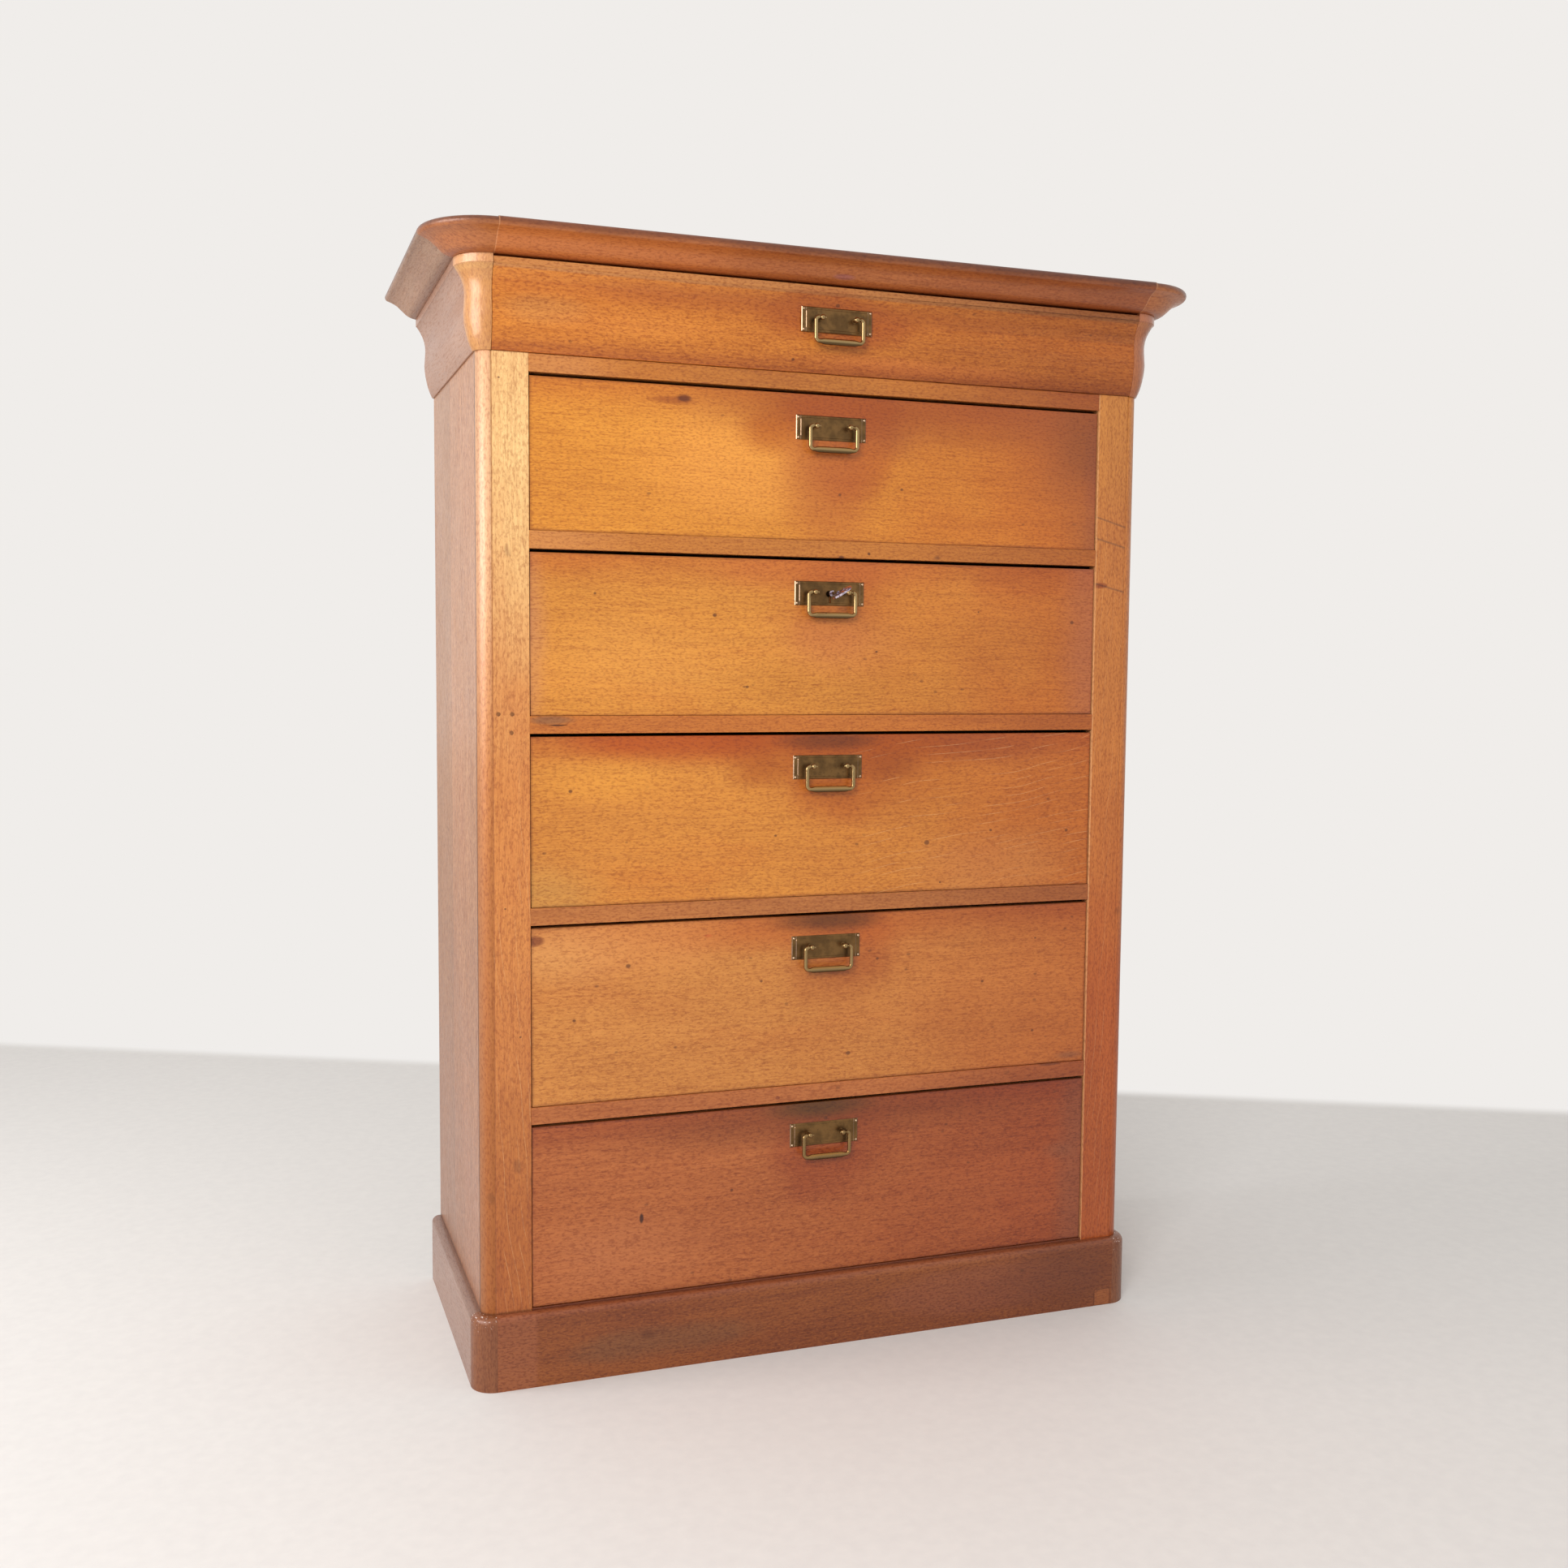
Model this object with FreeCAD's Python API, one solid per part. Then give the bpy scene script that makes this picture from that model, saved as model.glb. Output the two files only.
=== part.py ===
import FreeCAD, Part
import math
import os

V = FreeCAD.Vector
os.makedirs("parts", exist_ok=True)

# A chiffonier: a tall oak chest with a moulded frieze drawer over five flat drawers.
# +X is the viewer's right, +Y goes to the back, +Z is up. The origin is on the floor, in the
# middle of the whole chest's outline.

# Carcase
CARCASE_WIDTH = 960.0
CARCASE_DEPTH = 410.0
STILE_WIDTH = 66.0
STILE_THICK = 18.0  # also the radius of the rounded front corners
QUIRK_WIDTH = 1.2
QUIRK_DEPTH = 1.0
SIDE_THICK = 20.0
SIDE_REAR_BOARD = 165.0  # width of the narrower of the two boards in each side
BACK_THICK = 12.0
BACK_REBATE = 10.0
BACK_BOARD_COUNT = 6

# Heights
PLINTH_HEIGHT = 100.0
BASE_SHOW = 3.0  # the bottom board's edge that shows above the plinth
RAIL_THICK = 23.0
OPENING_HEIGHTS = (248.0, 242.0, 228.0, 215.0, 200.0)  # flat drawers, from the bottom up
FRIEZE_HEIGHT = 114.0
CORNICE_HEIGHT = 35.0
CORNICE_STEP = 1.0  # the front moulding stands this much above the other top pieces

# Plinth
PLINTH_THICK = 13.0
PLINTH_ROUND = 10.0
PATCH_WIDTH = 27.0
PATCH_HEIGHT = 25.0
PATCH_DEPTH = 4.0
PATCH_FROM_SEAM = 3.0

# Base
BASE_RAIL_THICK = 18.0
CLEAT_WIDTH = 30.0
CLEAT_HEIGHT = 25.0
CLEAT_END_GAP = 12.0
GLUE_BLOCK_LENGTH = 60.0
GLUE_BLOCK_LEG = 35.0
GLUE_BLOCK_PLACE_SHARES = (-0.6, 0.0, 0.6)  # along half of the front opening

# Frieze and cornice mouldings. Each point is (share of the projection, share of the height).
FRIEZE_PROJECTION = 25.5
FRIEZE_CURVE_SHARES = (
    (0.09, 0.0), (0.27, 0.09), (0.415, 0.206), (0.502, 0.316), (0.533, 0.408),
    (0.50, 0.509), (0.475, 0.605), (0.51, 0.689), (0.62, 0.772), (0.80, 0.85), (0.95, 0.9),
)
FRIEZE_BAND_SHARE = 0.904  # the upright band under the cornice starts at this share of the height
CORNICE_PROJECTION = 70.0
CORNICE_SEAT = 10.0  # how far the cornice and top stand on the sides
CORNICE_CURVE_SHARES = (
    (0.371, 0.0), (0.471, 0.05), (0.571, 0.157), (0.657, 0.314), (0.75, 0.48),
    (0.836, 0.58), (0.936, 0.657),
)
CORNICE_NOSE_SHARE = 0.82  # height of the rounded nose's foremost point
CORNICE_TOP_EDGE_SHARE = 0.93  # where the nose meets the flat top

# Top
TOP_THICK = 19.0
TOP_RAIL_WIDTH = 60.0

# Rails, runners, guides and stops
RAIL_DEPTH = 60.0
RUNNER_WIDTH = 70.0
GUIDE_HEIGHT = 22.0
POST_DEPTH = 32.0
STOP_WIDTH = 40.0
STOP_DEPTH = 12.0
STOP_HEIGHT = 6.0
STOP_PLACE_SHARE = 0.62  # along half of the front opening

# Drawers
FRONT_THICK = 20.0
FRONT_RECESS = 2.5
SIDE_GAP = 1.0
RUN_GAP = 0.3
STOP_GAP = 0.3
TOP_GAP = 4.3
FRIEZE_TOP_GAP = 3.0
FRIEZE_END_GAP = 0.6
BOX_SIDE = 12.0
BOX_BACK = 12.0
BOX_TOP_DROP = 6.0
BOX_BACK_DROP = 10.0
BOX_REAR_GAP = 23.0
BOTTOM_THICK = 8.0
BOTTOM_LIFT = 10.0
GROOVE_DEPTH = 6.0
DOVETAIL_PITCH = 44.0
DOVETAIL_LAP = 5.0
DOVETAIL_WIDE_SHARE = 0.62  # of the pitch, at the tail's wide end
DOVETAIL_NARROW_SHARE = 0.46
SLIDING_TAIL_DEPTH = 7.0
SLIDING_TAIL_NECK = 7.0
SLIDING_TAIL_STOP = 12.0

# Handles
PLATE_WIDTH = 102.0
PLATE_HEIGHT = 33.0
PLATE_THICK = 1.4
PLATE_BEVEL = 1.0
PLATE_FROM_TOP = 28.0
FRIEZE_PLATE_TOP = 85.0  # above the foot of the frieze
PANEL_RAISE = 0.8
PANEL_BORDER = 3.2
PANEL_END_BORDER = 6.2
PANEL_CORNER = 3.0
PANEL_BEVEL = 0.5
PIN_PLACE = 3.0  # from the plate's edges
PIN_HEAD = 1.6
PIN_SHANK = 0.8
PIN_LENGTH = 7.0
POST_SPREAD = 49.0
POST_BELOW_TOP = 15.0
POST_REACH = 9.5  # from the panel's face to the middle of the ball
BALL_RADIUS = 3.8
NECK_RADIUS = 2.3
COLLAR_RADIUS = 3.6
COLLAR_THICK = 1.0
SHANK_RADIUS = 2.0
SHANK_CLEAR = 0.1
NUT_SIZE = 9.0
NUT_THICK = 3.0
SHANK_END = 2.0  # what stands out of the nut
PIVOT_RADIUS = 1.5
PIVOT_CLEAR = 0.06
PIVOT_END = 1.2  # what stands out of the ball
BAIL_SPREAD = 68.0
BAIL_WIRE = 2.75
BAIL_ELBOW = 4.1
BAIL_CORNER = 5.5
BAIL_DROP = 31.5
GRIP_HALF_HEIGHT = 4.25
GRIP_HALF_THICK = 3.0
GRIP_SWELL_SHARES = ((1.0, 0.0), (0.93, 0.22), (0.85, 0.72), (0.75, 0.96), (0.4, 1.0))

# Lock and key, in the third drawer from the top
LOCK_DRAWER = 3
LOCK_RAIL = 2  # the rail over that drawer
KEY_BELOW_TOP = 16.5  # of the plate
LOCK_WIDTH = 40.0
LOCK_DEPTH = 11.0
LOCK_WALL = 1.5
LOCK_TOP_WALL = 2.0
LOCK_BELOW_KEY = 18.0
BOLT_WIDTH = 24.0
BOLT_THICK = 5.0
BOLT_CLEAR = 0.3
BOLT_ABOVE_KEY = 13.0
TALON_ABOVE_KEY = 2.75
TALON_FROM = 4.0
BOLT_MORTISE_DEPTH = 12.0
BOLT_MORTISE_CLEAR = 1.5
BOLT_SINK = 0.2
KEY_STEM = 2.6
KEY_CLEAR = 0.06
KEY_REACH = 30.0  # from the panel's face to the bow
KEY_COLLAR = 4.0
KEY_COLLAR_LENGTH = 3.0
KEY_COLLAR_PLACE = 6.0
KEYHOLE_CLEAR = 0.8
KEYHOLE_SLOT = 3.2
BIT_REACH = 12.0
BIT_THICK = 2.5
BIT_LENGTH = 5.0
BOW_LENGTH = 27.0
BOW_WIDTH = 31.0
BOW_THICK = 2.6
BOW_HOLE = 4.3
BOW_HOLE_RING_SHARE = 0.285  # of the bow's length, from its middle to each hole
BOW_HOLE_TURNS = (45, 135, 225, 315)  # degrees
KEY_TILT = 213.0  # degrees: the way that the bit points, seen from the front

OVERRUN = 5.0  # how far a cutting shape runs past what it cuts

# Places worked out from these sizes
HALF_WIDTH = CARCASE_WIDTH / 2
FACE_Y = (CORNICE_PROJECTION - CARCASE_DEPTH) / 2
BACK_Y = FACE_Y + CARCASE_DEPTH
SEAM_X = HALF_WIDTH - STILE_THICK
SEAM_Y = FACE_Y + STILE_THICK
BAY_X = HALF_WIDTH - STILE_WIDTH
INNER_X = HALF_WIDTH - SIDE_THICK
INNER_Y = BACK_Y - BACK_THICK
RIM_X = HALF_WIDTH - CORNICE_SEAT
FLOOR_Z = PLINTH_HEIGHT + BASE_SHOW
FRONT_BACK_Y = FACE_Y + FRONT_RECESS + FRONT_THICK
BOX_X = BAY_X - SIDE_GAP
BOX_REAR_Y = INNER_Y - BOX_REAR_GAP


def level_heights():
    """Floor height of each drawer opening, and the rails' undersides, from the bottom up."""
    floors = []
    rails = []
    z = FLOOR_Z
    for opening in OPENING_HEIGHTS:
        floors.append(z)
        rails.append(z + opening)
        z += opening + RAIL_THICK
    return floors, rails, z


FLAT_FLOORS, RAIL_FOOTS, FRIEZE_Z = level_heights()
CORNICE_Z = FRIEZE_Z + FRIEZE_HEIGHT
SIDE_TOP_Z = CORNICE_Z + CORNICE_HEIGHT - CORNICE_STEP
TOP_FRAME_THICK = CORNICE_HEIGHT - CORNICE_STEP - TOP_THICK
DRAWER_COUNT = len(OPENING_HEIGHTS) + 1


# Helpers
def block(x0, x1, y0, y1, z0, z1):
    return Part.makeBox(x1 - x0, y1 - y0, z1 - z0, V(x0, y0, z0))


def rod(radius, start, end):
    way = end - start
    return Part.makeCylinder(radius, way.Length, start, way)


def prism(points, along):
    return Part.Face(Part.makePolygon(points + points[:1])).extrude(along)


def mirrored(shape):
    return shape.mirror(V(0, 0, 0), V(1, 0, 0))


def pair(shape):
    return [shape, mirrored(shape)]


def save(node, *solids):
    """One file for one node. A node of several solids is a group of alike or matched pieces."""
    shape = solids[0] if len(solids) == 1 else Part.makeCompound(list(solids))
    shape.exportStep("parts/%s.step" % node)


# Mouldings: an outline in (projection, height), laid into the place where it is needed
def frieze_outline(inner):
    """Edges of the frieze's section as (kind, points), from the inner foot to the inner top."""
    curve = [(p * FRIEZE_PROJECTION, h * FRIEZE_HEIGHT) for p, h in FRIEZE_CURVE_SHARES]
    band = (FRIEZE_PROJECTION, FRIEZE_BAND_SHARE * FRIEZE_HEIGHT)
    top = (FRIEZE_PROJECTION, FRIEZE_HEIGHT)
    return [
        ("line", [(-inner, 0), curve[0]]),
        ("curve", curve),
        ("line", [curve[-1], band]),
        ("line", [band, top]),
        ("line", [top, (-inner, FRIEZE_HEIGHT)]),
        ("line", [(-inner, FRIEZE_HEIGHT), (-inner, 0)]),
    ]


def cornice_outline(inner, height):
    curve = [(p * CORNICE_PROJECTION, h * CORNICE_HEIGHT) for p, h in CORNICE_CURVE_SHARES]
    nose = (CORNICE_PROJECTION, CORNICE_NOSE_SHARE * CORNICE_HEIGHT)
    edge = (CORNICE_TOP_EDGE_SHARE * CORNICE_PROJECTION, height)
    return [
        ("line", [(-inner, 0), curve[0]]),
        ("curve", curve),
        ("curve", [curve[-1], nose, edge]),
        ("line", [edge, (-inner, height)]),
        ("line", [(-inner, height), (-inner, 0)]),
    ]


def plinth_outline(inner):
    shoulder = PLINTH_HEIGHT - PLINTH_ROUND
    lean = PLINTH_ROUND * (1 - math.sqrt(0.5))
    mid = (PLINTH_THICK - lean, PLINTH_HEIGHT - lean)
    top = (PLINTH_THICK - PLINTH_ROUND, PLINTH_HEIGHT)
    return [
        ("line", [(-inner, 0), (PLINTH_THICK, 0)]),
        ("line", [(PLINTH_THICK, 0), (PLINTH_THICK, shoulder)]),
        ("curve", [(PLINTH_THICK, shoulder), mid, top]),
        ("line", [top, (-inner, PLINTH_HEIGHT)]),
        ("line", [(-inner, PLINTH_HEIGHT), (-inner, 0)]),
    ]


def chain(spots):
    """A curve of arcs, each through three of the spots and starting where the last one ends."""
    return [Part.Arc(*spots[k : k + 3]).toShape() for k in range(0, len(spots) - 1, 2)]


def section(outline, place):
    """A flat face: every (projection, height) of the outline put in space by place."""
    edges = []
    for kind, points in outline:
        spots = [place(p, h) for p, h in points]
        edges += chain(spots) if kind == "curve" else [Part.makeLine(*spots)]
    return Part.Face(Part.Wire(edges))


def front_moulding(outline, z, end_x):
    face = section(outline, lambda p, h: V(-end_x, FACE_Y - p, z + h))
    return face.extrude(V(2 * end_x, 0, 0))


def side_mouldings(outline, z):
    face = section(outline, lambda p, h: V(HALF_WIDTH + p, SEAM_Y, z + h))
    return pair(face.extrude(V(0, BACK_Y - SEAM_Y, 0)))


def corner_mouldings(outline, z):
    """The same section turned a quarter about the middle of the rounded corner."""
    face = section(outline, lambda p, h: V(SEAM_X, FACE_Y - p, z + h))
    return pair(face.revolve(V(SEAM_X, SEAM_Y, 0), V(0, 0, 1), 90))


# Carcase
def stile():
    """The right stile: a board with a rounded outer corner and a quirk cut beside the round."""
    board = block(BAY_X, SEAM_X, FACE_Y, SEAM_Y, 0, FRIEZE_Z)
    corner = V(SEAM_X, SEAM_Y, 0)
    round_edge = Part.makeCylinder(STILE_THICK, FRIEZE_Z, corner, V(0, 0, 1), 90)
    round_edge.rotate(corner, V(0, 0, 1), -90)
    quirk = prism(
        [
            V(SEAM_X - QUIRK_WIDTH / 2, FACE_Y, FLOOR_Z),
            V(SEAM_X, FACE_Y + QUIRK_DEPTH, FLOOR_Z),
            V(SEAM_X + QUIRK_WIDTH / 2, FACE_Y, FLOOR_Z),
        ],
        V(0, 0, FRIEZE_Z - FLOOR_Z),
    )
    notch_end = V(0, -OVERRUN, 0)
    mouth = prism(
        [
            V(SEAM_X - QUIRK_WIDTH / 2, FACE_Y, FLOOR_Z),
            V(SEAM_X + QUIRK_WIDTH / 2, FACE_Y, FLOOR_Z),
            V(SEAM_X + QUIRK_WIDTH / 2, FACE_Y, FLOOR_Z) + notch_end,
            V(SEAM_X - QUIRK_WIDTH / 2, FACE_Y, FLOOR_Z) + notch_end,
        ],
        V(0, 0, FRIEZE_Z - FLOOR_Z),
    )
    return board.fuse(round_edge).removeSplitter().cut(quirk.fuse(mouth))


def side_boards():
    """The right side: two upright boards edge to edge, rebated at the back for the back boards."""
    joint_y = BACK_Y - SIDE_REAR_BOARD
    front = block(INNER_X, HALF_WIDTH, SEAM_Y, joint_y, 0, CORNICE_Z)
    rear = block(INNER_X, HALF_WIDTH, joint_y, BACK_Y, 0, CORNICE_Z)
    rebate = block(
        INNER_X - OVERRUN,
        INNER_X + BACK_REBATE,
        INNER_Y,
        BACK_Y + OVERRUN,
        FLOOR_Z - RAIL_THICK,
        CORNICE_Z + OVERRUN,
    )
    return [front, rear.cut(rebate)]


def shelf(z, depth):
    """A board between the stiles that widens behind them to the sides."""
    tongue = block(-BAY_X, BAY_X, FACE_Y, SEAM_Y, z, z + RAIL_THICK)
    body = block(-INNER_X, INNER_X, SEAM_Y, SEAM_Y + depth, z, z + RAIL_THICK)
    return tongue.fuse(body).removeSplitter()


def front_rail(number):
    """Rails are numbered from the top. The one over the lock has a mortise for the bolt."""
    z = RAIL_FOOTS[-number]
    rail = shelf(z, RAIL_DEPTH)
    if number == LOCK_RAIL:
        middle_y = bolt_middle_y()
        half_x = BOLT_WIDTH / 2 + BOLT_MORTISE_CLEAR
        half_y = BOLT_THICK / 2 + BOLT_MORTISE_CLEAR
        rail = rail.cut(
            block(
                -half_x,
                half_x,
                middle_y - half_y,
                middle_y + half_y,
                z - OVERRUN,
                z + BOLT_MORTISE_DEPTH,
            )
        )
    return rail


def back_boards():
    width = 2 * (INNER_X + BACK_REBATE) / BACK_BOARD_COUNT
    boards = []
    for k in range(BACK_BOARD_COUNT):
        x = -INNER_X - BACK_REBATE + k * width
        boards.append(block(x, x + width, INNER_Y, BACK_Y, FLOOR_Z - RAIL_THICK, CORNICE_Z))
    return boards


def top_frame():
    """Four flat rails that lie on the sides and carry the top board and the cornice."""
    z0 = CORNICE_Z
    z1 = CORNICE_Z + TOP_FRAME_THICK
    front = block(-RIM_X, RIM_X, SEAM_Y, SEAM_Y + TOP_RAIL_WIDTH, z0, z1)
    rear = block(-RIM_X, RIM_X, BACK_Y - TOP_RAIL_WIDTH, BACK_Y, z0, z1)
    batten = block(
        RIM_X - TOP_RAIL_WIDTH,
        RIM_X,
        SEAM_Y + TOP_RAIL_WIDTH,
        BACK_Y - TOP_RAIL_WIDTH,
        z0,
        z1,
    )
    return [front, rear] + pair(batten)


def base_frame():
    """The rail behind the plinth, and the cleats and glue blocks under the bottom board."""
    underside = FLOOR_Z - RAIL_THICK
    rail = block(-BAY_X, BAY_X, FACE_Y, FACE_Y + BASE_RAIL_THICK, 0, underside)
    cleat = block(
        INNER_X - CLEAT_WIDTH,
        INNER_X,
        SEAM_Y + CLEAT_END_GAP,
        INNER_Y - CLEAT_END_GAP,
        underside - CLEAT_HEIGHT,
        underside,
    )
    solids = [rail] + pair(cleat)
    rail_back = FACE_Y + BASE_RAIL_THICK
    for share in GLUE_BLOCK_PLACE_SHARES:
        x = share * BAY_X - GLUE_BLOCK_LENGTH / 2
        corner = V(x, rail_back, underside)
        solids.append(
            prism(
                [corner, corner + V(0, GLUE_BLOCK_LEG, 0), corner - V(0, 0, GLUE_BLOCK_LEG)],
                V(GLUE_BLOCK_LENGTH, 0, 0),
            )
        )
    return solids


def plinth_front():
    """The planted front board and the square patch let into its right end."""
    board = front_moulding(plinth_outline(0), 0, SEAM_X)
    face = FACE_Y - PLINTH_THICK
    x1 = SEAM_X - PATCH_FROM_SEAM
    patch = block(x1 - PATCH_WIDTH, x1, face, face + PATCH_DEPTH, 0, PATCH_HEIGHT)
    return board.cut(patch), patch


def opening(number):
    """Floor height and opening height of a drawer, numbered from the top."""
    if number == 1:
        return FRIEZE_Z, FRIEZE_HEIGHT
    return FLAT_FLOORS[1 - number], OPENING_HEIGHTS[1 - number]


def front_inner_y(number):
    """The plane of a drawer front's inner face."""
    return SEAM_Y - STOP_GAP if number == 1 else FRONT_BACK_Y


def runners():
    """One runner at each end of each rail, flush with the rail's top."""
    solids = []
    for z in RAIL_FOOTS:
        runner = block(
            INNER_X - RUNNER_WIDTH, INNER_X, SEAM_Y + RAIL_DEPTH, INNER_Y, z, z + RAIL_THICK
        )
        solids += pair(runner)
    return solids


def guides():
    """Strips that keep the drawers straight, and the posts behind the frieze drawer's ends."""
    solids = []
    for number in range(1, DRAWER_COUNT + 1):
        z = opening(number)[0]
        start = SEAM_Y + POST_DEPTH if number == 1 else SEAM_Y
        solids += pair(block(BAY_X, INNER_X, start, INNER_Y, z, z + GUIDE_HEIGHT))
    post = block(BAY_X, INNER_X, SEAM_Y, SEAM_Y + POST_DEPTH, FRIEZE_Z, CORNICE_Z)
    return solids + pair(post)


def stops():
    """Small blocks on each rail that the closed drawer front comes up against."""
    solids = []
    middle = STOP_PLACE_SHARE * BAY_X
    for number in range(1, DRAWER_COUNT + 1):
        z = opening(number)[0]
        y = front_inner_y(number) + STOP_GAP
        stop = block(
            middle - STOP_WIDTH / 2, middle + STOP_WIDTH / 2, y, y + STOP_DEPTH, z, z + STOP_HEIGHT
        )
        solids += pair(stop)
    return solids


# Drawers
def tails(root_y, tip_y, x0, x1, z0, z1):
    """Dovetails in the right side's end, narrow at the root and wide at the tip."""
    count = max(1, round((z1 - z0) / DOVETAIL_PITCH))
    pitch = (z1 - z0) / count
    shapes = []
    for k in range(count):
        middle = z0 + (k + 0.5) * pitch
        root = DOVETAIL_NARROW_SHARE * pitch / 2
        tip = DOVETAIL_WIDE_SHARE * pitch / 2
        shapes.append(
            prism(
                [
                    V(x0, root_y, middle - root),
                    V(x0, root_y, middle + root),
                    V(x0, tip_y, middle + tip),
                    V(x0, tip_y, middle - tip),
                ],
                V(x1 - x0, 0, 0),
            )
        )
    return shapes


def sliding_tail(y, x0, x1, z0, z1):
    """One upright dovetail key on the side's front end, for a front that runs past the side."""
    middle = (x0 + x1) / 2
    neck = SLIDING_TAIL_NECK / 2
    wide = (x1 - x0) / 2
    return prism(
        [
            V(middle - neck, y, z0),
            V(middle + neck, y, z0),
            V(middle + wide, y - SLIDING_TAIL_DEPTH, z0),
            V(middle - wide, y - SLIDING_TAIL_DEPTH, z0),
        ],
        V(0, 0, z1 - z0),
    )


def frieze_front(z0, z1):
    """The frieze drawer's front has the section of the frieze, cut short of the cornice."""
    end_x = SEAM_X - FRIEZE_END_GAP
    whole = front_moulding(frieze_outline(STILE_THICK - STOP_GAP), FRIEZE_Z, end_x)
    reach = FACE_Y - FRIEZE_PROJECTION - OVERRUN
    return whole.common(block(-HALF_WIDTH, HALF_WIDTH, reach, BACK_Y, z0, z1))


def drawer(number):
    """The front, the box (two sides and a back) and the bottom of one drawer."""
    floor_z, height = opening(number)
    inner_y = front_inner_y(number)
    gap = FRIEZE_TOP_GAP if number == 1 else TOP_GAP
    z0 = floor_z + RUN_GAP
    z1 = floor_z + height - gap
    side_top = z1 - BOX_TOP_DROP
    x0 = BOX_X - BOX_SIDE
    bottom_z = z0 + BOTTOM_LIFT
    back_z0 = bottom_z + BOTTOM_THICK
    back_z1 = side_top - BOX_BACK_DROP
    if number == 1:
        front = frieze_front(z0, z1)
        tip_y = inner_y - SLIDING_TAIL_DEPTH
        sockets = [sliding_tail(inner_y, x0, BOX_X, z0, side_top - SLIDING_TAIL_STOP)]
    else:
        front = block(-BOX_X, BOX_X, FACE_Y + FRONT_RECESS, inner_y, z0, z1)
        tip_y = inner_y - FRONT_THICK + DOVETAIL_LAP
        sockets = tails(inner_y, tip_y, x0, BOX_X, z0, side_top)
    rear_tails = tails(BOX_REAR_Y - BOX_BACK, BOX_REAR_Y, x0, BOX_X, back_z0, back_z1)
    for shape in sockets:
        front = front.cut(shape).cut(mirrored(shape))
    back = block(-BOX_X, BOX_X, BOX_REAR_Y - BOX_BACK, BOX_REAR_Y, back_z0, back_z1)
    for shape in rear_tails:
        back = back.cut(shape).cut(mirrored(shape))
    groove_x = x0 + GROOVE_DEPTH
    bottom = block(
        -groove_x, groove_x, inner_y - GROOVE_DEPTH, BOX_REAR_Y, bottom_z, bottom_z + BOTTOM_THICK
    )
    side = block(x0, BOX_X, tip_y, BOX_REAR_Y, z0, side_top)
    side = side.cut(front).cut(back).cut(bottom)
    return front.cut(bottom), pair(side) + [back], bottom


# Handles
def frieze_reach(z0, z1):
    """How far the frieze's curve stands out between two heights."""
    spots = [V(p * FRIEZE_PROJECTION, 0, h * FRIEZE_HEIGHT) for p, h in FRIEZE_CURVE_SHARES]
    foot = z0 - FRIEZE_Z
    strip = block(0, FRIEZE_PROJECTION, -OVERRUN, OVERRUN, foot, z1 - FRIEZE_Z)
    stretch = Part.makeCompound(chain(spots)).common(strip)
    points = [v.Point for v in stretch.Vertexes]
    for edge in stretch.Edges:
        points += edge.discretize(Number=50)
    return max(p.x for p in points)


def handle_place(number):
    """Height of the plate's top edge and the plane that its back lies on."""
    if number == 1:
        top = FRIEZE_Z + FRIEZE_PLATE_TOP
        return top, FACE_Y - frieze_reach(top - PLATE_HEIGHT, top)
    floor_z, height = opening(number)
    return floor_z + height - TOP_GAP - PLATE_FROM_TOP, FACE_Y + FRONT_RECESS


def plate(z, y):
    """A pressed plate with bevelled edges and a raised panel with rounded corners."""
    half = PLATE_WIDTH / 2
    base = block(-half, half, y - PLATE_THICK, y, z - PLATE_HEIGHT, z)
    base = base.makeChamfer(PLATE_BEVEL, front_edges(base))
    x = half - PANEL_END_BORDER
    foot = y - PLATE_THICK
    panel = block(
        -x, x, foot - PANEL_RAISE, foot, z - PLATE_HEIGHT + PANEL_BORDER, z - PANEL_BORDER
    )
    corners = [e for e in panel.Edges if e.BoundBox.YLength > PANEL_RAISE / 2]
    panel = panel.makeFillet(PANEL_CORNER, corners)
    panel = panel.makeChamfer(PANEL_BEVEL, front_edges(panel))
    return base.fuse(panel)


def front_edges(shape):
    """The edges that lie in a shape's foremost plane."""
    middle = shape.BoundBox.Center.y
    return [e for e in shape.Edges if all(v.Y < middle for v in e.Vertexes)]


def pin_spots(z, y):
    dx = PLATE_WIDTH / 2 - PIN_PLACE
    heights = (z - PIN_PLACE, z - PLATE_HEIGHT + PIN_PLACE)
    return [V(x, y - PLATE_THICK, h) for x in (-dx, dx) for h in heights]


def pin(spot):
    """A small domed pin: half a ball on a shank."""
    head = Part.makeSphere(PIN_HEAD, spot, V(0, -1, 0), 0, 90, 360)
    return head.fuse(rod(PIN_SHANK, spot, spot + V(0, PIN_LENGTH, 0)))


def post(x, z, y, inner_y):
    """A ball on a neck, bored across for the bail, with a shank through plate and front."""
    face = y - PLATE_THICK - PANEL_RAISE
    ball = V(x, face - POST_REACH, z)
    end = V(x, inner_y + NUT_THICK + SHANK_END, z)
    body = Part.makeSphere(BALL_RADIUS, ball).fuse(
        [
            rod(NECK_RADIUS, ball, V(x, face, z)),
            rod(COLLAR_RADIUS, V(x, face - COLLAR_THICK, z), V(x, face, z)),
            rod(SHANK_RADIUS, ball, end),
        ]
    )
    reach = V(BALL_RADIUS + OVERRUN, 0, 0)
    return body.cut(rod(PIVOT_RADIUS + PIVOT_CLEAR, ball - reach, ball + reach))


def nut(x, z, inner_y):
    half = NUT_SIZE / 2
    body = block(x - half, x + half, inner_y, inner_y + NUT_THICK, z - half, z + half)
    hole = rod(
        SHANK_RADIUS + SHANK_CLEAR,
        V(x, inner_y - OVERRUN, z),
        V(x, inner_y + NUT_THICK + OVERRUN, z),
    )
    return body.cut(hole)


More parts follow.
